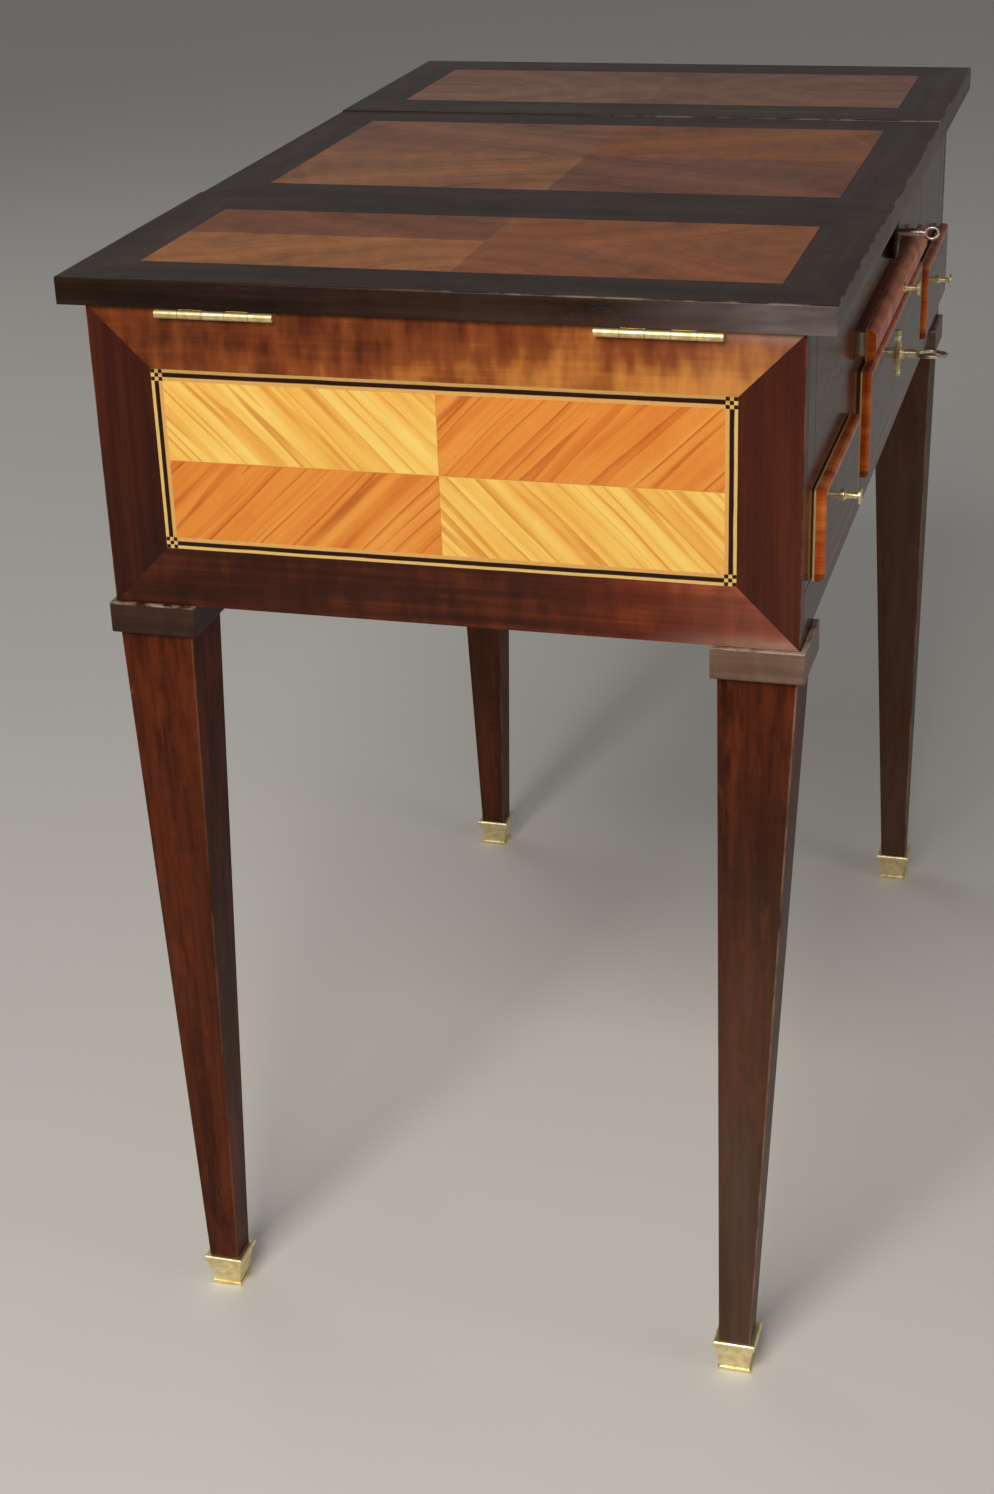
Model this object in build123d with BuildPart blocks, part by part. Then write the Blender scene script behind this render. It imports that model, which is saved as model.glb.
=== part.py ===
from build123d import *
import os

# Poudreuse dressing table. Three hinged lids cover two wells and a mirror. Below them the case
# holds a pull-out slide and three drawers, and stands on four tapered legs in brass shoes.
# Frame: origin on the floor under the middle of the whole object, +Z up, front facing -Y,
# +X to the right of somebody facing the front. "left" is -X. Everything is in millimetres.

os.makedirs("parts", exist_ok=True)

# ---- Driving dimensions: lids and case ----
table_height = 740.0
lids_length = 760.0
lid_depth = 464.0
lid_thickness = 17.0
centre_lid_step = 0.8
lid_end_overhang = 3.5
lid_side_overhang = 17.0
lid_gap = 0.8
lid_joint_rest = 2.0
lid_edge_radius = 1.2
case_height = 189.0
end_board = 12.0
back_board = 12.0
front_board = 16.0
bottom_board = 8.0
bottom_recess = 2.0
partition_board = 12.0
well_board = 5.0
well_drop = 3.0

# ---- Driving dimensions: front openings ----
bottom_rail = 32.0
outer_stile = 38.5
inner_stile = 47.0
centre_opening = 292.0
side_drawer_height = 53.0
centre_drawer_height = 68.0
slide_bed = 11.0
slide_height = 17.0

# ---- Driving dimensions: drawers and slide ----
lip_thickness = 7.0
lip_overlap = 2.0
lip_round = 2.6
front_block = 11.0
drawer_side = 7.0
drawer_back = 7.0
drawer_bottom = 4.0
bottom_rise = 4.0
groove_depth = 3.0
drawer_reach = 372.0
slide_reach = 330.0
slide_lip_round = 6.4
side_gap = 0.4
run_gap = 0.3
top_gap = 0.6
drawer_ajar = {"left": 0.6, "centre": 1.2, "right": 1.4}
slide_ajar = 3.6
runner_width = 12.0
runner_bearing = 10.0
guide_height = 20.0

# ---- Driving dimensions: legs, collars and shoes ----
leg_top = 49.0
leg_foot = 21.5
foot_inset = 22.0
leg_tenon_top = 17.0
leg_tenon_tip = 15.0
post_width = 26.0
collar_proud = 3.7
collar_height = 20.0
collar_round = 1.0
shoe_height = 25.0
shoe_floor = 3.0
shoe_rim = 29.0
shoe_rim_height = 5.0
shoe_rim_bead = 1.2
shoe_flare = 26.0
shoe_waist = 20.6
shoe_foot = 22.4
shoe_foot_height = 2.6
foot_lean = {
    ("front", "left"): (-9.5, 11.8),
    ("front", "right"): (5.8, -5.9),
    ("back", "left"): (0.5, -1.4),
    ("back", "right"): (-3.4, -5.7),
}

# ---- Driving dimensions: mirror ----
mirror_length = 236.0
mirror_depth = 350.0
mirror_thickness = 3.0
mirror_recess = 3.4
bead_width = 9.0
bead_cover = 3.0
bead_height = 4.0
bead_round = 1.6
bead_mitre_gap = 0.1

# ---- Driving dimensions: hinges ----
hinge_length = 74.0
hinge_inset = 45.5
back_hinge_spacing = 170.0
knuckle_radius = 2.75
knuckle_count = 5
knuckle_gap = 0.3
hinge_out = 3.0
hinge_drop = 3.1
leaf_thickness = 1.4
leaf_gap = 0.1
leaf_width = 14.5
pin_radius = 1.2
pin_play = 0.05
screw_length = 11.0
screw_head_radius = 2.5
screw_radius = 1.3
screw_play = 0.05
screw_tip = 3.0
screw_slot = 0.6
screw_spacing = 25.0
screw_line = 8.75

# ---- Driving dimensions: knobs, locks, keys and escutcheons ----
knob_length = 11.5
knob_radius = 5.2
knob_disc = 1.6
knob_dish = 0.8
knob_waist = 1.7
knob_stem = 2.2
knob_edge_round = 0.5
knob_flange = 3.6
knob_flange_thickness = 1.2
knob_shank = 1.5
knob_shank_length = 9.0
lock_width = 36.0
lock_depth = 8.5
lock_let_in = 7.0
lock_below_key = 11.0
lock_wall = 1.3
lock_chamber = 7.2
bolt_width = 13.0
bolt_thickness = 3.0
bolt_play = 0.3
bolt_above_key = 7.6
bolt_travel = 5.0
bolt_pocket_play = 4.0
lid_key_drop = 31.0
drawer_key_drop = 26.5
keyhole_radius = 3.2
keyhole_slot = 2.6
keyhole_slot_length = 6.9
key_radius = 2.5
key_bit_reach = 6.4
key_bit_thickness = 1.8
key_bit_play = 0.5
key_bead_radius = 3.4
key_bead_length = 1.6
key_bow_thickness = 2.4
key_bow_round = 0.8
lid_key = {"reach": 33.7, "bow_length": 11.0, "bow_width": 10.0, "bow_rim": 2.0, "turn": 35.0}
drawer_key = {"reach": 35.0, "bow_length": 23.0, "bow_width": 16.0, "bow_rim": 2.4, "turn": 90.0}
strike_length = 36.0
strike_width = 13.0
strike_thickness = 1.2
lid_plate_thickness = 5.6
lid_plate_round = 2.2
lid_plate_bowl = 8.5
lid_plate_bowl_drop = 9.5
lid_plate_head = 5.5
lid_plate_head_rise = 6.5
drawer_plate_height = 34.0
drawer_plate_width = 24.0
drawer_plate_thickness = 2.2
drawer_plate_boss = 6.6
drawer_plate_boss_height = 2.4
drawer_plate_finial = 2.2
drawer_plate_hole = 1.5
drawer_plate_hole_offset = 9.2

# ---- Places worked out from the sizes above ----
front_reach = lid_depth / 2 - lid_side_overhang + drawer_ajar["centre"] + lip_thickness
front_reach += drawer_key["reach"]
mid_y = (front_reach - lid_depth / 2) / 2
case_length = lids_length - 2 * lid_end_overhang
case_depth = lid_depth - 2 * lid_side_overhang
case_top = table_height - lid_thickness
case_floor = case_top - case_height
end_x = case_length / 2
end_inner_x = end_x - end_board
front_y = mid_y - case_depth / 2
front_inner_y = front_y + front_board
back_y = mid_y + case_depth / 2
back_inner_y = back_y - back_board
inner_y = (front_inner_y, back_inner_y)
centre_x = centre_opening / 2
side_inner_x = centre_x + inner_stile
side_outer_x = end_x - outer_stile
partition_x = centre_x + partition_board
lid_joint_x = centre_x + lid_joint_rest
openings_z = case_floor + bottom_rail
side_top_z = openings_z + side_drawer_height
bed_z = openings_z + centre_drawer_height
slide_z = bed_z + slide_bed
frieze_z = slide_z + slide_height
floor_top_z = case_floor + bottom_recess + bottom_board
well_z = side_top_z + well_drop
mirror_well_z = frieze_z + well_drop / 3
post_inner_x = end_inner_x - post_width
hinge_z = case_top - hinge_drop
lid_leaf_z = hinge_drop - leaf_thickness
case_leaf_z = lid_leaf_z - leaf_gap - leaf_thickness
lid_key_z = case_top - lid_key_drop
drawer_top_z = bed_z - top_gap
drawer_key_z = drawer_top_z - drawer_key_drop


def mid(span):
    """The middle of a (low, high) pair."""
    return (span[0] + span[1]) / 2


def block(x, y, z, mode=Mode.ADD):
    """A box that fills three (low, high) pairs, for use inside a BuildPart block."""
    with Locations((mid(x), mid(y), mid(z))):
        Box(x[1] - x[0], y[1] - y[0], z[1] - z[0], mode=mode)


def sided(sign, low, high):
    """The (low, high) pair from the middle outwards, on the side that sign names."""
    return (low, high) if sign > 0 else (-high, -low)


def finish(piece, name):
    """Label one finished piece and write its STEP file."""
    piece.part.label = name
    export_step(piece.part, f"parts/{name}.step")


sides = {"left": -1, "right": 1}

# ---- Screws and hinges, in their own frame: pin along X, leaves towards +Y ----


def screw_form(play):
    """A countersunk screw's outline, wider all round by play, head up along +Z."""
    with BuildPart() as form:
        with BuildSketch(Plane.XZ):
            with BuildLine():
                Polyline(
                    (0, 0),
                    (screw_head_radius + play, 0),
                    (screw_radius + play, -leaf_thickness),
                    (screw_radius + play, screw_tip - screw_length),
                    (0, -screw_length - play),
                    close=True,
                )
            make_face()
        revolve(axis=Axis.Z)
    return form


screw_hole = screw_form(screw_play)
screw_blank = screw_form(0)

with BuildPart() as screw:
    add(screw_blank.part)
    block(
        (-screw_head_radius, screw_head_radius),
        (-screw_slot / 2, screw_slot / 2),
        (-screw_slot, screw_slot),
        mode=Mode.SUBTRACT,
    )

screw_spots = [(step * screw_spacing, screw_line) for step in (-1, 0, 1)]
case_screw_places = [Location((x, y, case_leaf_z + leaf_thickness)) for x, y in screw_spots]
lid_screw_places = [Location((x, y, lid_leaf_z), (180, 0, 0)) for x, y in screw_spots]


def hinge_leaf(plate_z, knuckles, bore, screw_places):
    """One leaf: its plate, the knuckles it owns, the pin's bore and the screw holes."""
    plate_start = knuckle_radius + knuckle_gap
    pitch = hinge_length / knuckle_count
    with BuildPart() as leaf:
        block(
            (-hinge_length / 2, hinge_length / 2),
            (plate_start, leaf_width),
            (plate_z, plate_z + leaf_thickness),
        )
        for index in knuckles:
            low = -hinge_length / 2 + index * pitch + knuckle_gap / 2
            knuckle = (low, low + pitch - knuckle_gap)
            block(knuckle, (0, plate_start), (plate_z, plate_z + leaf_thickness))
            with Locations((mid(knuckle), 0, 0)):
                Cylinder(knuckle_radius, pitch - knuckle_gap, rotation=(0, 90, 0))
        Cylinder(bore, hinge_length + leaf_width, rotation=(0, 90, 0), mode=Mode.SUBTRACT)
        with Locations(*screw_places):
            add(screw_hole.part, mode=Mode.SUBTRACT)
    return leaf


case_leaf = hinge_leaf(case_leaf_z, range(0, knuckle_count, 2), pin_radius, case_screw_places)
lid_leaf = hinge_leaf(lid_leaf_z, range(1, knuckle_count, 2), pin_radius + pin_play, lid_screw_places)

with BuildPart() as hinge_pin:
    Cylinder(pin_radius, hinge_length - knuckle_gap, rotation=(0, 90, 0))

end_hinge_offset = case_depth / 2 - hinge_inset - hinge_length / 2
hinge_places = {"left": [], "right": [], "centre": []}
for step in (-1, 1):
    along_y = mid_y + step * end_hinge_offset
    hinge_places["left"].append(Location((-end_x - hinge_out, along_y, hinge_z), (0, 0, -90)))
    hinge_places["right"].append(Location((end_x + hinge_out, along_y, hinge_z), (0, 0, 90)))
    along_x = step * back_hinge_spacing / 2
    hinge_places["centre"].append(Location((along_x, back_y + hinge_out, hinge_z), (0, 0, 180)))
all_hinge_places = [place for places in hinge_places.values() for place in places]

with BuildPart() as hinge_leaves_case:
    with Locations(*all_hinge_places):
        add(case_leaf.part)
finish(hinge_leaves_case, "hinge_leaves_case")

with BuildPart() as hinge_pins:
    with Locations(*all_hinge_places):
        add(hinge_pin.part)
finish(hinge_pins, "hinge_pins")

with BuildPart() as hinge_screws_case:
    with Locations(*all_hinge_places):
        with Locations(*case_screw_places):
            add(screw.part)
finish(hinge_screws_case, "hinge_screws_case")

for lid_name, places in hinge_places.items():
    with BuildPart() as hinge_leaves_lid:
        with Locations(*places):
            add(lid_leaf.part)
    finish(hinge_leaves_lid, f"hinge_leaves_lid_{lid_name}")

    with BuildPart() as hinge_screws_lid:
        with Locations(*places):
            with Locations(*lid_screw_places):
                add(screw.part)
    finish(hinge_screws_lid, f"hinge_screws_lid_{lid_name}")

# The pocket for both leaves of one hinge in the top edge of its board, with the screws' holes.
with BuildPart() as hinge_mortise:
    block((-hinge_length / 2, hinge_length / 2), (0, leaf_width), (case_leaf_z, hinge_drop))
    with Locations(*case_screw_places):
        add(screw_hole.part)

with BuildPart() as lid_screw_holes:
    with Locations(*lid_screw_places):
        add(screw_hole.part)

# ---- Case: ends, back, floor, partitions and wells ----
for side, sign in sides.items():
    with BuildPart() as case_end:
        block(sided(sign, end_inner_x, end_x), (front_y, back_y), (case_floor, case_top))
        with Locations(*hinge_places[side]):
            add(hinge_mortise.part, mode=Mode.SUBTRACT)
    finish(case_end, f"case_end_{side}")

with BuildPart() as partitions:
    for sign in sides.values():
        block(sided(sign, centre_x, partition_x), inner_y, (floor_top_z, case_top))
finish(partitions, "partitions")

with BuildPart() as well_floors:
    for sign in sides.values():
        block(sided(sign, partition_x, end_inner_x), inner_y, (well_z, well_z + well_board))
    block((-centre_x, centre_x), inner_y, (mirror_well_z, mirror_well_z + well_board))
finish(well_floors, "well_floors")

with BuildPart() as case_back:
    block((-end_inner_x, end_inner_x), (back_inner_y, back_y), (case_floor, case_top))
    with Locations(*hinge_places["centre"]):
        add(hinge_mortise.part, mode=Mode.SUBTRACT)
finish(case_back, "case_back")

front_post_y = (front_inner_y, front_y + leg_top)
back_post_y = (back_y - leg_top, back_inner_y)
with BuildPart() as case_bottom:
    block((-end_inner_x, end_inner_x), inner_y, (case_floor + bottom_recess, floor_top_z))
    for sign in sides.values():
        for post_y in (front_post_y, back_post_y):
            block(sided(sign, post_inner_x, end_inner_x), post_y, (case_floor, floor_top_z), Mode.SUBTRACT)
finish(case_bottom, "case_bottom")

# ---- Front: rail, stiles, false drawer fronts ----
with BuildPart() as front_rail:
    block((-end_inner_x, end_inner_x), (front_y, front_inner_y), (case_floor, openings_z))
finish(front_rail, "front_rail")

with BuildPart() as front_stiles:
    for sign in sides.values():
        for stile_x in ((centre_x, side_inner_x), (side_outer_x, end_inner_x)):
            block(sided(sign, *stile_x), (front_y, front_inner_y), (openings_z, case_top))
finish(front_stiles, "front_stiles")

with BuildPart() as false_fronts:
    for sign in sides.values():
        block(sided(sign, side_inner_x, side_outer_x), (front_y, front_inner_y), (side_top_z, case_top))
finish(false_fronts, "false_fronts")


# ---- Locks, keys and their holes ----
with BuildSketch() as keyhole:
    Circle(keyhole_radius)
    with Locations((0, -keyhole_slot_length / 2)):
        Rectangle(keyhole_slot, keyhole_slot_length)


def facing_front(y, z):
    """A sketch plane seen from the front: its x is +X, its y is +Z and its normal is -Y."""
    return Plane(origin=(0, y, z), x_dir=(1, 0, 0), z_dir=(0, -1, 0))


def cut_lock_seat(face_y, board_back_y, key_z, top_z):
    """The tool solid that cuts a keyhole and a lock's seat out of a front board."""
    lock_y = board_back_y - lock_let_in
    with BuildPart() as seat:
        with BuildSketch(facing_front(face_y - 1, key_z)):
            add(keyhole.sketch)
        extrude(amount=-(lock_y - face_y + 2))
        block(
            (-lock_width / 2, lock_width / 2),
            (lock_y, board_back_y),
            (key_z - lock_below_key, top_z),
        )
    return seat


def make_lock(name, board_back_y, key_z, top_z):
    """A lock's case, with its keyhole, key chamber and bolt channel, and its bolt."""
    lock_y = (board_back_y - lock_let_in, board_back_y - lock_let_in + lock_depth)
    bolt_y = (mid(lock_y) - bolt_thickness / 2, mid(lock_y) + bolt_thickness / 2)
    with BuildPart() as lock_case:
        block((-lock_width / 2, lock_width / 2), lock_y, (key_z - lock_below_key, top_z))
        with BuildSketch(facing_front(lock_y[0] - 1, key_z)):
            add(keyhole.sketch)
        extrude(amount=-(1 + 2 * lock_wall), mode=Mode.SUBTRACT)
        with Locations((0, mid(lock_y), key_z)):
            Cylinder(lock_chamber, lock_depth - 2 * lock_wall, rotation=(90, 0, 0), mode=Mode.SUBTRACT)
        block(
            (-bolt_width / 2 - bolt_play, bolt_width / 2 + bolt_play),
            (bolt_y[0] - bolt_play, bolt_y[1] + bolt_play),
            (key_z, top_z),
            mode=Mode.SUBTRACT,
        )
    finish(lock_case, f"{name}_lock_case")

    with BuildPart() as bolt:
        block((-bolt_width / 2, bolt_width / 2), bolt_y, (key_z + bolt_above_key, top_z - bolt_play))
    finish(bolt, f"{name}_lock_bolt")


def make_key(name, sizes, face_y, board_back_y, key_z):
    """A key that stands in its lock: shank, bit in the chamber, beads and an oval bow."""
    lock_y = board_back_y - lock_let_in
    bit_y = (lock_y + lock_wall + key_bit_play, lock_y + lock_depth - lock_wall - key_bit_play)
    bow_y = face_y - sizes["reach"] + sizes["bow_length"] / 2
    bow_base_y = face_y - sizes["reach"] + sizes["bow_length"]
    with BuildPart() as key_solid:
        with BuildSketch(facing_front(bit_y[1], 0)):
            Circle(key_radius)
        extrude(amount=bit_y[1] - bow_base_y + sizes["bow_rim"] / 2)
        block((-key_bit_thickness / 2, key_bit_thickness / 2), bit_y, (-key_bit_reach, 0))
        for step in (1, 2.5):
            with Locations((0, bow_base_y + step * key_bead_length, 0)):
                Cylinder(key_bead_radius, key_bead_length, rotation=(90, 0, 0))
        with BuildPart(mode=Mode.PRIVATE) as bow:
            with BuildSketch(Plane.YZ.offset(-key_bow_thickness / 2)):
                with Locations((bow_y, 0)):
                    Ellipse(sizes["bow_length"] / 2, sizes["bow_width"] / 2)
                    Ellipse(
                        sizes["bow_length"] / 2 - sizes["bow_rim"],
                        sizes["bow_width"] / 2 - sizes["bow_rim"],
                        mode=Mode.SUBTRACT,
                    )
            extrude(amount=key_bow_thickness)
            fillet(bow.edges(), key_bow_round)
        add(bow.part)
    with BuildPart() as key:
        with Locations(Location((0, 0, key_z), (0, sizes["turn"], 0))):
            add(key_solid.part)
    finish(key, f"{name}_key")


make_lock("lid", front_inner_y, lid_key_z, case_top - bolt_play)
make_key("lid", lid_key, front_y, front_inner_y, lid_key_z)
lid_lock_seat = cut_lock_seat(front_y, front_inner_y, lid_key_z, case_top)

with BuildPart() as front_frieze:
    block((-centre_x, centre_x), (front_y, front_inner_y), (frieze_z, case_top))
    add(lid_lock_seat.part, mode=Mode.SUBTRACT)
finish(front_frieze, "front_frieze")

with BuildPart() as lid_escutcheon:
    with BuildSketch(facing_front(front_y, lid_key_z)):
        with Locations((0, -lid_plate_bowl_drop)):
            Circle(lid_plate_bowl)
        with Locations((0, lid_plate_head_rise)):
            Circle(lid_plate_head)
        make_hull()
    extrude(amount=lid_plate_thickness)
    fillet(lid_escutcheon.faces().sort_by(Axis.Y)[0].edges(), lid_plate_round)
    with BuildSketch(facing_front(front_y, lid_key_z)):
        add(keyhole.sketch)
    extrude(amount=lid_plate_thickness, mode=Mode.SUBTRACT)
finish(lid_escutcheon, "lid_escutcheon")

# ---- Slide and its bed ----
drawer_front_y = front_y - drawer_ajar["centre"] - lip_thickness
drawer_front_back_y = front_y - drawer_ajar["centre"] + front_block
drawer_bolt_y = drawer_front_back_y - lock_let_in + lock_depth / 2
bolt_pocket_x = (-bolt_width / 2 - bolt_play, bolt_width / 2 + bolt_play)
bolt_pocket_height = bolt_travel + 1

with BuildPart() as slide_bed_board:
    block((-centre_x, centre_x), (front_y, back_inner_y), (bed_z, slide_z))
    block(
        bolt_pocket_x,
        (drawer_bolt_y - bolt_pocket_play, drawer_bolt_y + bolt_pocket_play),
        (bed_z, bed_z + bolt_pocket_height),
        mode=Mode.SUBTRACT,
    )
finish(slide_bed_board, "slide_bed")

slide_lip_y = (front_y - slide_ajar - lip_thickness, front_y - slide_ajar)
slide_body_z = (slide_z + run_gap, frieze_z - top_gap)
slide_knob_z = mid((slide_z, frieze_z))
with BuildPart() as slide_board:
    block(
        (side_gap - centre_x, centre_x - side_gap),
        (slide_lip_y[1], slide_lip_y[1] + slide_reach),
        slide_body_z,
    )
    with Locations((0, slide_lip_y[1], slide_knob_z)):
        Cylinder(
            knob_shank, 2 * (knob_shank_length - lip_thickness), rotation=(90, 0, 0), mode=Mode.SUBTRACT
        )
finish(slide_board, "slide_board")

with BuildPart() as slide_lip:
    block(
        (-centre_x - lip_overlap, centre_x + lip_overlap),
        slide_lip_y,
        (slide_z - lip_overlap, frieze_z + lip_overlap),
    )
    fillet(slide_lip.faces().sort_by(Axis.Y)[0].edges().filter_by(Axis.X), slide_lip_round)
    with Locations((0, slide_lip_y[0], slide_knob_z)):
        Cylinder(knob_shank, 2 * lip_thickness, rotation=(90, 0, 0), mode=Mode.SUBTRACT)
finish(slide_lip, "slide_lip")


def make_knob(name, x, face_y, z):
    """A turned brass knob with its shank in the wood behind it."""
    cove = knob_flange - knob_stem
    cove_end = -knob_flange_thickness - cove
    neck_end = knob_disc + knob_dish - knob_length
    with BuildPart() as knob:
        with BuildSketch(Plane(origin=(x, face_y, z), x_dir=(1, 0, 0), z_dir=(0, 0, 1))):
            with BuildLine():
                Polyline((0, knob_shank_length), (knob_shank, knob_shank_length), (knob_shank, 0))
                Line((knob_shank, 0), (knob_flange, 0))
                Line((knob_flange, 0), (knob_flange, -knob_flange_thickness))
                CenterArc((knob_flange, cove_end), cove, 90, 90)
                Line((knob_stem, cove_end), (knob_waist, neck_end))
                Line((knob_waist, neck_end), (knob_radius, knob_disc - knob_length))
                Line((knob_radius, knob_disc - knob_length), (knob_radius, -knob_length))
                Polyline((knob_radius, -knob_length), (0, -knob_length), (0, knob_shank_length))
            make_face()
        revolve(axis=Axis((x, face_y, z), (0, 1, 0)))
        fillet(knob.faces().sort_by(Axis.Y)[0].edges(), knob_edge_round)
    finish(knob, f"{name}_knob")


make_knob("slide", 0, slide_lip_y[0], slide_knob_z)


# ---- Drawers ----
def make_drawer(name, opening_x, opening_z, ajar, cuts):
    """One drawer: lipped front, two sides, back and bottom. Returns its front face's Y."""
    front_back_y = front_y - ajar + front_block
    face_y = front_y - ajar - lip_thickness
    rear_y = front_y - ajar + drawer_reach
    body_x = (opening_x[0] + side_gap, opening_x[1] - side_gap)
    body_z = (opening_z[0] + run_gap, opening_z[1] - top_gap)
    inner_x = (body_x[0] + drawer_side, body_x[1] - drawer_side)
    panel_z = (body_z[0] + bottom_rise, body_z[0] + bottom_rise + drawer_bottom)
    panel_x = (inner_x[0] - groove_depth, inner_x[1] + groove_depth)
    panel_y = (front_back_y - groove_depth, rear_y)
    box_top_z = body_z[1] - 2 * top_gap

    with BuildPart() as drawer_front:
        block(
            (opening_x[0] - lip_overlap, opening_x[1] + lip_overlap),
            (face_y, front_y - ajar),
            (opening_z[0] - lip_overlap, opening_z[1] + lip_overlap),
        )
        fillet(drawer_front.faces().sort_by(Axis.Y)[0].edges(), lip_round)
        block(body_x, (front_y - ajar, front_back_y), body_z)
        block(panel_x, panel_y, panel_z, mode=Mode.SUBTRACT)
        for cut in cuts:
            add(cut, mode=Mode.SUBTRACT)
    finish(drawer_front, f"drawer_{name}_front")

    with BuildPart() as drawer_sides:
        for side_x in ((body_x[0], inner_x[0]), (inner_x[1], body_x[1])):
            block(side_x, (front_back_y, rear_y), (body_z[0], box_top_z))
        block(panel_x, panel_y, panel_z, mode=Mode.SUBTRACT)
    finish(drawer_sides, f"drawer_{name}_sides")

    with BuildPart() as drawer_back_board:
        block(inner_x, (rear_y - drawer_back, rear_y), (panel_z[1], box_top_z))
    finish(drawer_back_board, f"drawer_{name}_back")

    with BuildPart() as drawer_bottom_panel:
        block(panel_x, panel_y, panel_z)
    finish(drawer_bottom_panel, f"drawer_{name}_bottom")
    return face_y


for side, sign in sides.items():
    opening_x = sided(sign, side_inner_x, side_outer_x)
    opening_z = (openings_z, side_top_z)
    face_y = front_y - drawer_ajar[side] - lip_thickness
    with BuildPart() as knob_hole:
        with Locations((mid(opening_x), face_y, mid(opening_z))):
            Cylinder(knob_shank, 2 * knob_shank_length, rotation=(90, 0, 0))
    make_drawer(side, opening_x, opening_z, drawer_ajar[side], [knob_hole.part])
    make_knob(f"drawer_{side}", mid(opening_x), face_y, mid(opening_z))

drawer_lock_seat = cut_lock_seat(drawer_front_y, drawer_front_back_y, drawer_key_z, drawer_top_z)
centre_opening_x = (-centre_x, centre_x)
make_drawer("centre", centre_opening_x, (openings_z, bed_z), drawer_ajar["centre"], [drawer_lock_seat.part])
make_lock("drawer", drawer_front_back_y, drawer_key_z, drawer_top_z)
make_key("drawer", drawer_key, drawer_front_y, drawer_front_back_y, drawer_key_z)

with BuildPart() as drawer_escutcheon:
    with BuildSketch(facing_front(drawer_front_y, drawer_key_z)):
        with BuildLine():
            tips = [
                (0, drawer_plate_height / 2),
                (drawer_plate_width / 2, 0),
                (0, -drawer_plate_height / 2),
                (-drawer_plate_width / 2, 0),
            ]
            for start, end in zip(tips, tips[1:] + tips[:1]):
                waist = ((start[0] + end[0]) * 0.34, (start[1] + end[1]) * 0.34)
                ThreePointArc(start, waist, end)
        make_face()
        with Locations((0, drawer_plate_height / 2 - drawer_plate_finial)):
            Circle(drawer_plate_finial)
        with Locations((0, drawer_plate_finial - drawer_plate_height / 2)):
            Circle(drawer_plate_finial)
        Circle(drawer_plate_boss)
        with Locations((0, drawer_plate_hole_offset), (0, -drawer_plate_hole_offset)):
            Circle(drawer_plate_hole, mode=Mode.SUBTRACT)
    extrude(amount=drawer_plate_thickness)
    with BuildSketch(facing_front(drawer_front_y - drawer_plate_thickness, drawer_key_z)):
        Circle(drawer_plate_boss - drawer_plate_boss_height)
    extrude(amount=drawer_plate_boss_height)
    with BuildSketch(facing_front(drawer_front_y, drawer_key_z)):
        add(keyhole.sketch)
    extrude(amount=drawer_plate_thickness + drawer_plate_boss_height, mode=Mode.SUBTRACT)
finish(drawer_escutcheon, "drawer_escutcheon")

# ---- Drawer runners and guides ----
runner_z = (floor_top_z, openings_z)
guide_z = (openings_z, openings_z + guide_height)
with BuildPart() as runners_centre:
    for sign in sides.values():
        block(sided(sign, centre_x - runner_width, centre_x), inner_y, runner_z)
finish(runners_centre, "runners_centre")

between_posts_y = (front_post_y[1], back_post_y[0])
with BuildPart() as runners_side:
    for sign in sides.values():
        block(sided(sign, partition_x, side_inner_x + runner_bearing), inner_y, runner_z)
        block(sided(sign, side_outer_x - runner_bearing, end_inner_x), between_posts_y, runner_z)
finish(runners_side, "runners_side")

with BuildPart() as drawer_guides:
    for sign in sides.values():
        block(sided(sign, partition_x, side_inner_x), inner_y, guide_z)
        block(sided(sign, side_outer_x, end_inner_x), between_posts_y, guide_z)
finish(drawer_guides, "drawer_guides")

# ---- Legs, collars and shoes ----
with BuildSketch() as shoe_profile:
    with BuildLine():
        flare_z = shoe_height - shoe_rim_height
        rim_x = shoe_rim / 2 - shoe_rim_bead
        Polyline((0, 0), (shoe_foot / 2, 0), (shoe_foot / 2, shoe_foot_height))
        Line((shoe_foot / 2, shoe_foot_height), (shoe_waist / 2, shoe_foot_height))
        ThreePointArc(
            (shoe_waist / 2, shoe_foot_height),
            (shoe_waist / 2 + (shoe_flare - shoe_waist) / 8, (shoe_foot_height + flare_z) / 2),
            (shoe_flare / 2, flare_z),
        )
        Line((shoe_flare / 2, flare_z), (rim_x, flare_z))
        ThreePointArc((rim_x, flare_z), (shoe_rim / 2, (flare_z + shoe_height) / 2), (rim_x, shoe_height))
        Polyline((rim_x, shoe_height), (0, shoe_height), (0, 0))
    make_face()
    mirror(about=Plane.YZ)

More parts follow.
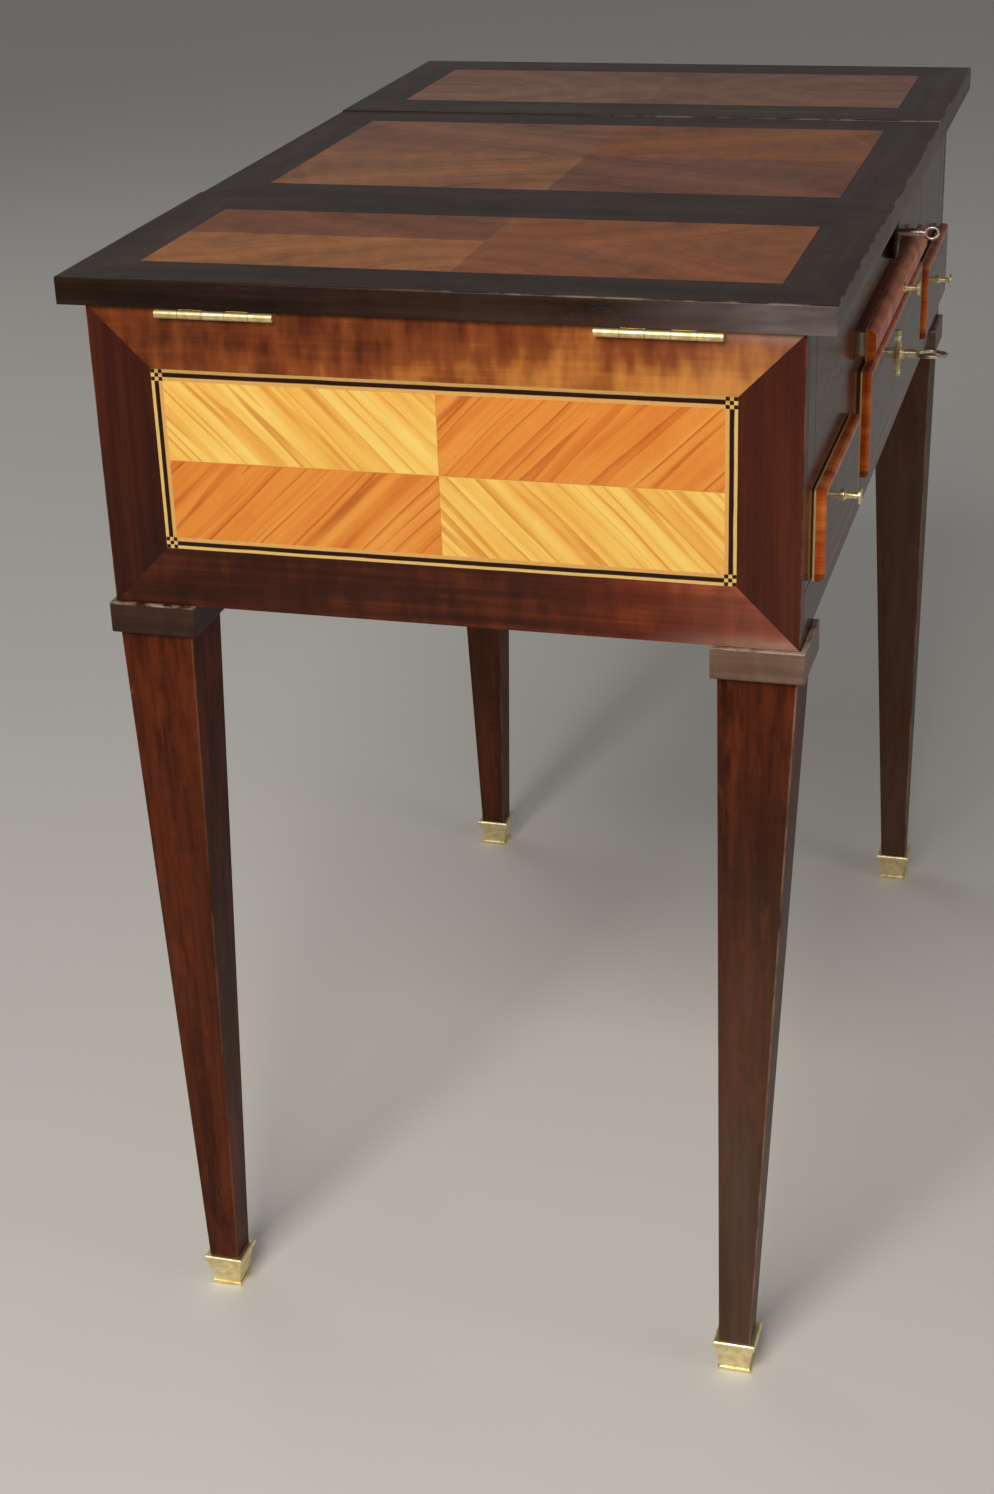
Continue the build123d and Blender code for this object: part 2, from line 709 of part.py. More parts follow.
shoes = []
collars = []
for row, row_sign in {"front": -1, "back": 1}.items():
    for side, sign in sides.items():
        top_x = sign * (end_x - leg_top / 2)
        top_y = mid_y + row_sign * (case_depth / 2 - leg_top / 2)
        foot_x = sign * (end_x - foot_inset) + foot_lean[row, side][0]
        foot_y = mid_y + row_sign * (case_depth / 2 - foot_inset) + foot_lean[row, side][1]
        post_y = front_post_y if row == "front" else back_post_y
        with BuildPart() as leg:
            with BuildSketch(Plane.XY.offset(shoe_height)):
                with Locations((foot_x, foot_y)):
                    Rectangle(leg_foot, leg_foot)
            with BuildSketch(Plane.XY.offset(case_floor)):
                with Locations((top_x, top_y)):
                    Rectangle(leg_top, leg_top)
            loft()
            with BuildSketch(Plane.XY.offset(shoe_floor)):
                with Locations((foot_x, foot_y)):
                    Rectangle(leg_tenon_tip, leg_tenon_tip)
            with BuildSketch(Plane.XY.offset(shoe_height)):
                with Locations((foot_x, foot_y)):
                    Rectangle(leg_tenon_top, leg_tenon_top)
            loft()
            block(sided(sign, post_inner_x, end_inner_x), post_y, (case_floor, well_z))
        finish(leg, f"leg_{row}_{side}")

        with BuildPart() as collar:
            with BuildSketch(Plane.XY.offset(case_floor - collar_height)):
                with Locations((top_x, top_y)):
                    Rectangle(leg_top + 2 * collar_proud, leg_top + 2 * collar_proud)
            extrude(amount=collar_height)
            fillet(collar.faces().sort_by(Axis.Z)[0].edges(), collar_round)
            add(leg.part, mode=Mode.SUBTRACT)
        collars.append(collar.part)

        with BuildPart() as shoe:
            with BuildSketch(Plane(origin=(foot_x, foot_y, 0), x_dir=(1, 0, 0), z_dir=(0, -1, 0))):
                add(shoe_profile.sketch)
            extrude(amount=shoe_rim, both=True)
            with BuildSketch(Plane(origin=(foot_x, foot_y, 0), x_dir=(0, 1, 0), z_dir=(1, 0, 0))):
                add(shoe_profile.sketch)
            extrude(amount=shoe_rim, both=True, mode=Mode.INTERSECT)
            add(leg.part, mode=Mode.SUBTRACT)
        shoes.append(shoe.part)

with BuildPart() as leg_collars:
    for collar_part in collars:
        add(collar_part)
finish(leg_collars, "leg_collars")

with BuildPart() as leg_shoes:
    for shoe_part in shoes:
        add(shoe_part)
finish(leg_shoes, "leg_shoes")

# ---- Lids, mirror and lock strike ----
lid_y = (mid_y - lid_depth / 2, mid_y + lid_depth / 2)
for side, sign in sides.items():
    with BuildPart() as lid:
        block(sided(sign, lid_joint_x + lid_gap / 2, lids_length / 2), lid_y, (case_top, table_height))
        fillet(lid.faces().sort_by(Axis.Z)[-1].edges(), lid_edge_radius)
        with Locations(*hinge_places[side]):
            add(lid_screw_holes.part, mode=Mode.SUBTRACT)
    finish(lid, f"lid_{side}")

strike_y = mid((front_inner_y - lock_let_in, front_inner_y - lock_let_in + lock_depth))
bolt_pocket_y = (strike_y - bolt_thickness / 2 - 1, strike_y + bolt_thickness / 2 + 1)
with BuildPart() as lid_centre:
    block(
        (lid_gap / 2 - lid_joint_x, lid_joint_x - lid_gap / 2),
        lid_y,
        (case_top, table_height - centre_lid_step),
    )
    fillet(lid_centre.faces().sort_by(Axis.Z)[-1].edges(), lid_edge_radius)
    with Locations(*hinge_places["centre"]):
        add(lid_screw_holes.part, mode=Mode.SUBTRACT)
    block(
        (-mirror_length / 2, mirror_length / 2),
        (mid_y - mirror_depth / 2, mid_y + mirror_depth / 2),
        (case_top, case_top + mirror_recess),
        mode=Mode.SUBTRACT,
    )
    block(
        (-strike_length / 2, strike_length / 2),
        (strike_y - strike_width / 2, strike_y + strike_width / 2),
        (case_top, case_top + strike_thickness),
        mode=Mode.SUBTRACT,
    )
    block(bolt_pocket_x, bolt_pocket_y, (case_top, case_top + bolt_pocket_height), mode=Mode.SUBTRACT)
finish(lid_centre, "lid_centre")

with BuildPart() as lid_strike:
    block(
        (-strike_length / 2, strike_length / 2),
        (strike_y - strike_width / 2, strike_y + strike_width / 2),
        (case_top, case_top + strike_thickness),
    )
    block(bolt_pocket_x, bolt_pocket_y, (case_top, case_top + strike_thickness), mode=Mode.SUBTRACT)
finish(lid_strike, "lid_strike")

with BuildPart() as mirror_glass:
    block(
        (-mirror_length / 2, mirror_length / 2),
        (mid_y - mirror_depth / 2, mid_y + mirror_depth / 2),
        (case_top, case_top + mirror_thickness),
    )
finish(mirror_glass, "mirror_glass")

with BuildPart() as mirror_bead:
    with BuildSketch(Plane.XY.offset(case_top - bead_height)):
        with Locations((0, mid_y)):
            bead_outer = 2 * (bead_width - bead_cover)
            Rectangle(mirror_length + bead_outer, mirror_depth + bead_outer)
            Rectangle(mirror_length - 2 * bead_cover, mirror_depth - 2 * bead_cover, mode=Mode.SUBTRACT)
    extrude(amount=bead_height)
    fillet(mirror_bead.faces().sort_by(Axis.Z)[0].edges(), bead_round)
    corner_x = mirror_length / 2 + bead_width / 2 - bead_cover
    corner_y = mirror_depth / 2 + bead_width / 2 - bead_cover
    for sign_x in (-1, 1):
        for sign_y in (-1, 1):
            corner = (sign_x * corner_x, mid_y + sign_y * corner_y, case_top)
            with Locations(Location(corner, (0, 0, sign_x * sign_y * 45))):
                Box(2 * bead_width, bead_mitre_gap, 3 * bead_height, mode=Mode.SUBTRACT)
finish(mirror_bead, "mirror_bead")
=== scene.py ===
"""Looks, light and camera for the poudreuse dressing table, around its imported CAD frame.

Blender works in metres. The materials work in millimetres of the same frame: origin on the floor
under the middle of the table, +Z up, front facing -Y, +X to the right of somebody facing the front.
"""
import math

import bpy
from mathutils import Matrix, Vector


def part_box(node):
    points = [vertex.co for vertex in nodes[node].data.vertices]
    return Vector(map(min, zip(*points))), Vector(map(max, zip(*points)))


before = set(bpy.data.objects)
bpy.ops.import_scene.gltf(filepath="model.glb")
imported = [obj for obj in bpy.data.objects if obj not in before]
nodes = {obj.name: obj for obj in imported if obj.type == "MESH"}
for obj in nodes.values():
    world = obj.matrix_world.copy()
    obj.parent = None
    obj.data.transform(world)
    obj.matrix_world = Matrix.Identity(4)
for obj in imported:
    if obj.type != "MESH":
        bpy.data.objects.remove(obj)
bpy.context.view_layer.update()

# ---- Sizes of the inlay and of the edges, in millimetres ----
MM = 1000.0
END_FRAME = 37.8
STRING = 2.4
STRINGING = 3 * STRING
LID_PANEL_Y = 195.0
LID_PANEL_OUTER = 43.0
LID_PANEL_JOINT = 48.0
LID_PANEL_CENTRE = 112.0
LID_SPLIT_SHIFT = 7.0
BACK_FRAME = 42.0
DRAWER_BAND = 11.0
DRAWER_BEAD = 4.5
SLIDE_BAND = 30.0
LIP_DEPTH = 7.1  # of the drawers, from front to back
LIP_LINE = 1.4  # pale line at the back of that lip
PIN_DEPTH = 7.2  # of the drawer backs, in from the ends of the sides
SLIDE_LINE = 0.9  # pale line at the back of the slide's lip
VENEER = 0.7
ARRIS = 0.9  # rubbed width


def srgb(red, green, blue):
    """A colour given as 0 to 255 on a screen, as the linear colour that a shader takes."""
    return tuple(
        c / 12.92 if c <= 0.04045 else ((c + 0.055) / 1.055) ** 2.4
        for c in (red / 255, green / 255, blue / 255)
    )


# ---- Palettes: dark, middle, light and pore colour of each wood ----
TULIP_YELLOW = (srgb(232, 158, 70), srgb(244, 188, 88), srgb(250, 212, 116), srgb(204, 118, 46))
TULIP_ORANGE = (srgb(206, 106, 38), srgb(226, 138, 56), srgb(238, 160, 74), srgb(164, 78, 28))
TULIP_LIP = (srgb(162, 62, 20), srgb(206, 94, 34), srgb(232, 134, 58), srgb(110, 38, 13))
# TULIP_SHADED_TOP is the lip's tulipwood darkened as painted shade, for the top faces of the lips.
TULIP_SHADED_TOP = (srgb(116, 50, 20), srgb(164, 84, 36), srgb(200, 120, 54), srgb(80, 34, 14))
RAIL_TOP = (srgb(84, 36, 18), srgb(136, 70, 31), srgb(208, 134, 60), srgb(50, 21, 12))
RAIL_BOTTOM = (srgb(38, 13, 7), srgb(62, 25, 11), srgb(100, 44, 22), srgb(22, 8, 5))
RAIL_RED = (srgb(80, 28, 13), srgb(122, 48, 21), srgb(164, 80, 40), srgb(46, 16, 8))
STILE = (srgb(42, 13, 7), srgb(66, 26, 14), srgb(92, 42, 22), srgb(24, 8, 5))
LID_FRAME = (srgb(26, 15, 10), srgb(48, 30, 21), srgb(70, 48, 36), srgb(14, 8, 6))
FRONT = (srgb(38, 19, 12), srgb(62, 34, 21), srgb(88, 50, 31), srgb(20, 10, 7))
FRONT_PANEL = (srgb(46, 28, 20), srgb(68, 44, 33), srgb(90, 62, 46), srgb(28, 15, 10))
LEG = (srgb(36, 12, 5), srgb(64, 26, 11), srgb(96, 42, 18), srgb(20, 7, 4))
LEG_FLAME = srgb(104, 46, 19)
# COLLAR_FRONT_SHEEN is the collar wood lightened grey as a painted reflection; COLLAR_BACK is the plain
# darker wood.
COLLAR_FRONT_SHEEN = (srgb(84, 62, 49), srgb(112, 85, 69), srgb(140, 114, 96), srgb(58, 40, 30))
COLLAR_BACK = (srgb(32, 17, 11), srgb(52, 29, 19), srgb(76, 46, 32), srgb(20, 10, 7))
MAHOGANY = (srgb(78, 36, 20), srgb(112, 56, 32), srgb(142, 80, 47), srgb(46, 20, 12))
OAK = (srgb(126, 92, 58), srgb(164, 126, 84), srgb(192, 156, 110), srgb(92, 64, 40))
SLIDE_CORE = (srgb(204, 182, 150), srgb(240, 226, 202), srgb(252, 244, 230), srgb(160, 134, 104))
BOXWOOD = srgb(234, 196, 118)
BOXWOOD_INNER = srgb(228, 174, 100)
EBONY = srgb(40, 17, 8)
END_DUSTY = srgb(166, 134, 118)
GLUE_LINE = srgb(24, 11, 8)
CLEAR, FULL = (0.0, 0.0, 0.0), (1.0, 1.0, 1.0)

# ---- Wear, dust, lines and darkening, with painted highlights and reflections ----
HOLLY_GRAIN = srgb(176, 118, 58)
HOLLY_DULLED = srgb(150, 96, 44)
END_ARRIS = srgb(150, 96, 66)
LID_MITRE = srgb(58, 46, 40)
PANEL_BORDER = srgb(22, 14, 11)
SCRATCH = srgb(170, 150, 130)
DUST = srgb(200, 188, 170)
LID_RUBBED_SHEEN = srgb(122, 108, 104)
LID_ARRIS_GLINT = srgb(150, 128, 112)
LIP_PALE = srgb(244, 206, 140)
SLIDE_PALE = srgb(206, 158, 108)
LEG_GREYED = srgb(92, 71, 58)
LEG_HEAD = srgb(150, 92, 44)
LEG_ARRIS_GLINT = srgb(176, 138, 108)
LEG_KNOCK = srgb(150, 104, 70)
COLLAR_RUBBED_GLINT = srgb(178, 158, 138)
COLLAR_FOOT_DARK = srgb(30, 18, 13)
DOVETAIL_LINE = srgb(60, 40, 26)
SILVERING = srgb(226, 228, 226)
FOXING = srgb(92, 80, 66)

# Quarter colours of the lids' panels: front left, back left, front right and back right.
LID_QUARTERS = {
    "lid_left": (srgb(139, 80, 45), srgb(158, 99, 53), srgb(142, 82, 42), srgb(123, 72, 44)),
    "lid_centre": (srgb(118, 71, 51), srgb(145, 94, 59), srgb(138, 79, 39), srgb(134, 86, 60)),
    "lid_right": (srgb(128, 86, 66), srgb(134, 94, 74), srgb(124, 82, 62), srgb(130, 88, 66)),
}


class Wire:
    """A number or a vector inside a node tree. Python's operators on it add the maths nodes."""

    def __init__(self, graph, socket):
        self.graph = graph
        self.socket = socket

    def __add__(self, other):
        return self.graph.maths("ADD", self, other)

    def __sub__(self, other):
        return self.graph.maths("SUBTRACT", self, other)

    def __mul__(self, other):
        return self.graph.maths("MULTIPLY", self, other)

    def __truediv__(self, other):
        return self.graph.maths("DIVIDE", self, other)

    def __radd__(self, other):
        return self.graph.maths("ADD", other, self)

    def __rsub__(self, other):
        return self.graph.maths("SUBTRACT", other, self)

    def __rmul__(self, other):
        return self.graph.maths("MULTIPLY", other, self)

    def __abs__(self):
        return self.graph.maths("ABSOLUTE", self)


class Graph:
    """One material and its node tree. x, y and z are the row frame's millimetres at rest."""

    def __init__(self, name):
        self.material = bpy.data.materials.new(name)
        self.material.use_nodes = True
        self.tree = self.material.node_tree
        self.shader = self.tree.nodes["Principled BSDF"]
        coordinates = self.node("ShaderNodeTexCoord")
        scaled = self.node("ShaderNodeVectorMath", operation="SCALE")
        self.tree.links.new(coordinates.outputs["Object"], scaled.inputs[0])
        scaled.inputs["Scale"].default_value = MM
        split = self.node("ShaderNodeSeparateXYZ")
        self.tree.links.new(scaled.outputs[0], split.inputs[0])
        self.x, self.y, self.z = (Wire(self, out) for out in split.outputs)

    def node(self, kind, **settings):
        made = self.tree.nodes.new(kind)
        for key, value in settings.items():
            setattr(made, key, value)
        return made

    def plug(self, socket, value):
        if isinstance(value, Wire):
            self.tree.links.new(value.socket, socket)
        elif isinstance(value, tuple):
            socket.default_value = value + (1.0,) if len(socket.default_value) == 4 else value
        else:
            socket.default_value = value

    def maths(self, operation, *values):
        made = self.node("ShaderNodeMath", operation=operation)
        for socket, value in zip(made.inputs, values):
            self.plug(socket, value)
        return Wire(self, made.outputs[0])

    def least(self, first, second):
        return self.maths("MINIMUM", first, second)

    def most(self, first, second):
        return self.maths("MAXIMUM", first, second)

    def rise(self, value, low, high):
        """0 below low, 1 above high and smooth between them."""
        made = self.node("ShaderNodeMapRange", interpolation_type="SMOOTHSTEP")
        for name, given in (("Value", value), ("From Min", low), ("From Max", high)):
            self.plug(made.inputs[name], given)
        return Wire(self, made.outputs["Result"])

    def edge(self, value, at, soft=0.12):
        """1 where value is above a line, with a hair of softness against jagged edges."""
        return self.rise(value, at - soft, at + soft)

    def between(self, value, low, high, soft=0.12):
        return self.edge(value, low, soft) - self.edge(value, high, soft)

    def noise(self, x, y, z, seed=0.0, detail=3.0, roughness=0.5, distortion=0.0):
        joined = self.node("ShaderNodeCombineXYZ")
        for socket, value in zip(joined.inputs, (x, y, z)):
            self.plug(socket, value + seed)
        made = self.node("ShaderNodeTexNoise")
        self.tree.links.new(joined.outputs[0], made.inputs["Vector"])
        made.inputs["Scale"].default_value = 1.0
        made.inputs["Detail"].default_value = detail
        made.inputs["Roughness"].default_value = roughness
        made.inputs["Distortion"].default_value = distortion
        return Wire(self, made.outputs[0])

    def mix(self, share, first, second):
        """The first colour where share is 0, the second where it is 1."""
        made = self.node("ShaderNodeMix", data_type="RGBA")
        for socket, value in zip((made.inputs[0], made.inputs[6], made.inputs[7]), (share, first, second)):
            self.plug(socket, value)
        return Wire(self, made.outputs[2])

    def blend(self, share, first, second):
        """The same for two numbers."""
        return first + (second - first) * share

    def scale(self, colour, factor):
        """A colour made darker or lighter by a factor."""
        made = self.node("ShaderNodeVectorMath", operation="SCALE")
        self.plug(made.inputs[0], colour)
        self.plug(made.inputs["Scale"], factor)
        return Wire(self, made.outputs[0])

    def ramp(self, value, stops):
        made = self.node("ShaderNodeValToRGB")
        elements = made.color_ramp.elements
        while len(elements) < len(stops):
            elements.new(0.5)
        for element, (position, colour) in zip(elements, stops):
            element.position = position
            element.color = colour + (1.0,)
        self.plug(made.inputs[0], value)
        return Wire(self, made.outputs[0])

    def done(self, colour, roughness, height=None, depth=0.1, metallic=0.0, ior=1.3):
        """Connects the finished surface; depth is how deep the height goes, in millimetres."""
        self.plug(self.shader.inputs["Base Color"], colour)
        self.plug(self.shader.inputs["Roughness"], roughness)
        self.shader.inputs["Metallic"].default_value = metallic
        self.shader.inputs["IOR"].default_value = ior
        if height is not None:
            bump = self.node("ShaderNodeBump")
            bump.inputs["Distance"].default_value = depth / MM
            self.plug(bump.inputs["Height"], height)
            self.tree.links.new(bump.outputs[0], self.shader.inputs["Normal"])
        return self.material


# ---- Woods ----
def figure(g, along, across, through, seed=0.0, mottle=0.0, contrast=1.0):
    """Tone of plain wood, about 0 to 1, and its open pores: broad tone, fine streaks and cross mottle."""
    tone = g.noise(along / 210.0, across / 21.0, through / 21.0, seed, 3.0)
    streak = g.noise(along / 130.0, across / 3.4, through / 3.4, seed + 3.7, 3.0, 0.55)
    value = tone * 0.64 + streak * 0.36
    if mottle:
        cross = g.noise(along / 11.0, across / 30.0, through / 30.0, seed + 9.1, 2.0)
        value = value + (cross - 0.5) * mottle
    value = (value - 0.5) * (2.1 * contrast) + 0.5
    dash = g.noise(along / 7.5, across / 0.45, through / 0.45, seed + 5.3, 2.0)
    patch = g.noise(along / 60.0, across / 9.0, through / 9.0, seed + 6.1, 1.0)
    pit = g.rise(dash, 0.58, 0.68) * g.rise(patch, 0.35, 0.6)
    return value, pit


def timber(g, along, across, through, palette, seed=0.0, mottle=0.0, contrast=1.0, pores=0.4):
    """Colour and height of plain wood in one palette."""
    dark, middle, light, pore = palette
    value, pit = figure(g, along, across, through, seed, mottle, contrast)
    colour = g.ramp(value, ((0.08, dark), (0.5, middle), (0.92, light)))
    return g.mix(pit * pores, colour, pore), value * 0.35 - pit


def tulipwood(g, along, across, seed, palette):
    """Colour and height of tulipwood: soft bands, each with a dark line that fades off to one side."""
    dark, middle, light, vein = palette
    at = across + (g.noise(along / 120.0, across / 60.0, 0.0, seed + 2.2, 2.0) - 0.5) * 7.0
    level = g.noise(along / 1100.0, at / 21.0, 0.0, seed, 2.0, 0.42)
    ring = g.maths("FRACT", level * 9.0)
    line = g.rise(ring, 0.0, 0.09) * (1.0 - g.rise(ring, 0.09, 0.42))
    breaks = g.rise(g.noise(along / 80.0, at / 8.0, 0.0, seed + 13.0, 2.0), 0.36, 0.64)
    broad = g.noise(along / 800.0, at / 12.0, 0.0, seed + 5.0, 2.0)
    cloud = g.noise(along / 50.0, across / 24.0, 0.0, seed + 7.9, 2.0)
    fine = g.noise(along / 160.0, at / 1.6, 0.0, seed + 4.4, 3.0, 0.6)
    value = (broad * 0.44 + cloud * 0.26 + fine * 0.16 + ring * 0.14 - 0.5) * 2.3 + 0.5
    colour = g.ramp(value, ((0.06, dark), (0.48, middle), (0.9, light)))
    line = line * breaks
    return g.mix(line * 0.62, colour, vein), value * 0.3 - line * 0.3


def mirrored(value, middle):
    """Distance from a centre line: what lies on one side is matched on the other."""
    return abs(value - middle)


def quarters(g, u, v, u_mid, v_mid, colours):
    """One of four colours round a point: low u low v, high u low v, low u high v, high u high v."""
    first = g.edge(u, u_mid, 0.2)
    second = g.edge(v, v_mid, 0.2)
    return g.mix(second, g.mix(first, colours[0], colours[1]), g.mix(first, colours[2], colours[3]))


def rectangle(u, v, u_span, v_span):
    """Distances in from the nearer u side and the nearer v side of a rectangle."""
    from_u = (u_span[1] - u_span[0]) / 2 - abs(u - (u_span[0] + u_span[1]) / 2)
    from_v = (v_span[1] - v_span[0]) / 2 - abs(v - (v_span[0] + v_span[1]) / 2)
    return from_u, from_v


def polish(g, base=0.24, spread=0.16):
    """Roughness of hand-rubbed polish: cloudy, with finer smears in it."""
    cloud = g.noise(g.x / 55.0, g.y / 55.0, g.z / 55.0, 21.0, 3.0)
    smear = g.noise(g.x / 7.0, g.y / 7.0, g.z / 7.0, 23.0, 2.0)
    return (cloud * 0.7 + smear * 0.3) * spread + base


def scratches(g, first, second, seed):
    """Sparse hair scratches over a surface with two coordinates, 0 to 1."""
    total = None
    for turn, spacing in ((0.35, 19.0), (-0.9, 27.0), (1.35, 33.0)):
        along = first * math.cos(turn) + second * math.sin(turn)
        across = second * math.cos(turn) - first * math.sin(turn)
        level = g.noise(along / 190.0, across / spacing, 0.0, seed + turn, 1.0, 0.3)
        hair = 1.0 - g.rise(abs(level - 0.5), 0.0004, 0.0028)
        lone = g.rise(g.noise(along / 24.0, across / 24.0, 0.0, seed + 2 * turn, 1.0), 0.6, 0.68)
        total = hair * lone if total is None else g.most(total, hair * lone)
    return total


def end_board(name, seed):
    """End of the case: mitred frame, chequered stringing and quarter-matched tulipwood."""
    low, high = (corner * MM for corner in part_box(name))
    outward = 1 if high.x > 0 else -1
    g = Graph(name)
    y_mid, z_mid = (low.y + high.y) / 2, (low.z + high.z) / 2
    from_y, from_z = rectangle(g.y, g.z, (low.y, high.y), (low.z, high.z))
    wobble = (g.noise(g.y / 30.0, g.z / 30.0, 0.0, seed, 1.0) - 0.5) * 0.35
    rim = g.least(from_y, from_z) + wobble
    above = g.edge(g.z, z_mid, 0.5)
    is_stile = g.edge(from_z - from_y, 0.0)

    stile, stile_height = timber(g, g.z, g.y, g.x, STILE, seed + 1.0, contrast=0.9)
    stile = g.scale(stile, 1.0 - (g.y - y_mid) / 900.0 + (g.z - z_mid) / 520.0)
    lower, lower_height = timber(g, g.y, g.z, g.x, RAIL_BOTTOM, seed + 2.0, 0.3)
    redder, _ = timber(g, g.y, g.z, g.x, RAIL_RED, seed + 2.0, 0.3)
    lower = g.mix(g.rise(y_mid - g.y, 40.0, 190.0), lower, redder)
    lower = g.scale(lower, g.rise(y_mid - g.y, 130.0, 230.0) * 0.35 + 1.0)
    flame = g.noise(g.y / 9.5, g.z / 34.0, 0.0, seed + 3.0, 2.0, 0.5)
    broad = g.noise(g.y / 42.0, g.z / 26.0, 0.0, seed + 3.3, 2.0)
    cross = g.noise(g.y / 70.0, g.z / 3.2, 0.0, seed + 3.5, 3.0, 0.6)
    glow = g.rise(from_z, 10.0, END_FRAME + 4.0) * (0.3 + (y_mid - g.y) / 900.0) - 0.12
    value = (flame * 0.46 + broad * 0.36 + cross * 0.18 - 0.5) * 1.9 + 0.45 + glow + (y_mid - g.y) / 1800.0
    upper = g.ramp(value, ((0.08, RAIL_TOP[0]), (0.48, RAIL_TOP[1]), (0.95, RAIL_TOP[2])))
    rails = g.mix(above, lower, upper)
    surround = g.mix(is_stile, rails, stile)
    dusty = g.rise(y_mid - g.y, 110.0, 215.0) * (0.72 - g.rise(from_z, 1.0, 11.0) * 0.58)
    dusty = dusty * (g.noise(g.y / 14.0, g.z / 6.0, 0.0, seed + 14.0, 3.0) * 0.8 + 0.6)
    surround = g.mix(dusty * (1.0 - is_stile), surround, END_DUSTY)
    mitre = 1.0 - g.rise(abs(from_z - from_y), 0.1, 0.5)
    surround = g.mix(mitre * 0.6, surround, GLUE_LINE)
    surround_height = g.blend(is_stile, g.blend(above, lower_height, value * 0.3), stile_height)

    u, v = mirrored(g.y, y_mid), mirrored(g.z, z_mid)
    odd = quarters(g, g.y, g.z, y_mid, z_mid, (CLEAR, FULL, FULL, CLEAR))
    slope = math.sqrt(0.5)
    along, across = (u + v) * slope, (u - v) * slope
    pale, pale_height = tulipwood(g, along, across + above * 60.0, seed + 4.0, TULIP_YELLOW)
    deep, deep_height = tulipwood(g, along, across + above * 47.0, seed + 6.5, TULIP_ORANGE)
    light_side = odd if outward < 0 else 1.0 - odd
    field = g.mix(light_side, pale, deep)
    joint = 1.0 - g.rise(g.least(u, v), 0.05, 0.3)
    field = g.mix(joint * 0.35, field, TULIP_ORANGE[3])

    across_line = (rim - END_FRAME) / STRING
    in_y, in_z = (from_y - END_FRAME) / STRING, (from_z - END_FRAME) / STRING
    corner = g.least(g.between(in_y, 0.0, 3.0, 0.06), g.between(in_z, 0.0, 3.0, 0.06))
    checks = g.maths("FLOOR", in_y) + g.maths("FLOOR", in_z)
    check_black = 1.0 - g.maths("MODULO", abs(checks), 2.0)
    uneven = g.noise(g.y / 26.0, g.z / 26.0, 0.0, seed + 12.0, 2.0) * 0.5
    line_black = g.between(across_line, 0.7 + uneven * 0.5, 2.0, 0.09)
    black = g.blend(corner, line_black, check_black)
    grain = g.noise(g.y / 2.5, g.z / 2.5, 0.0, seed + 8.0, 2.0)
    holly = g.mix(g.edge(across_line, 1.5), BOXWOOD, BOXWOOD_INNER)
    holly = g.mix(grain * 0.35, holly, HOLLY_GRAIN)
    dull = above * (1.0 - is_stile) * (1.0 - g.edge(across_line, 1.5))
    holly = g.mix(dull * 0.45, holly, HOLLY_DULLED)
    strings = g.mix(black, holly, EBONY)

    colour = g.mix(g.edge(rim, END_FRAME, 0.1), surround, strings)
    colour = g.mix(g.edge(rim, END_FRAME + STRINGING, 0.1), colour, field)
    height = g.blend(g.edge(rim, END_FRAME + 3.0), surround_height, pale_height * 0.5 + deep_height * 0.5)
    seams = 1.0 - g.rise(abs(rim - END_FRAME), 0.05, 0.3)
    height = height - seams - joint

    outer = max(high.x, -low.x)
    face = g.edge(g.x * outward, outer - VENEER)
    edge_wood, edge_height = timber(g, g.z, g.y, g.x, FRONT, seed + 9.0)
    oak, oak_height = timber(g, g.y, g.z, g.x, OAK, seed + 10.0)
    inside = g.edge(from_y, 1.2) * (1.0 - g.edge(g.z, high.z - 1.2))
    core = g.mix(inside, edge_wood, oak)
    colour = g.mix(face, core, colour)
    height = g.blend(face, g.blend(inside, edge_height, oak_height), height)
    at_arris = (1.0 - g.rise(from_y, 0.15, ARRIS)) * g.edge(g.x * outward, outer - ARRIS)
    wear_and_glint = at_arris * g.rise(g.noise(0.0, 0.0, g.z / 9.0, seed), 0.35, 0.7)
    colour = g.mix(wear_and_glint * 0.5, colour, END_ARRIS)
    return g.done(colour, polish(g, 0.18, 0.16), height, 0.04, ior=1.25)


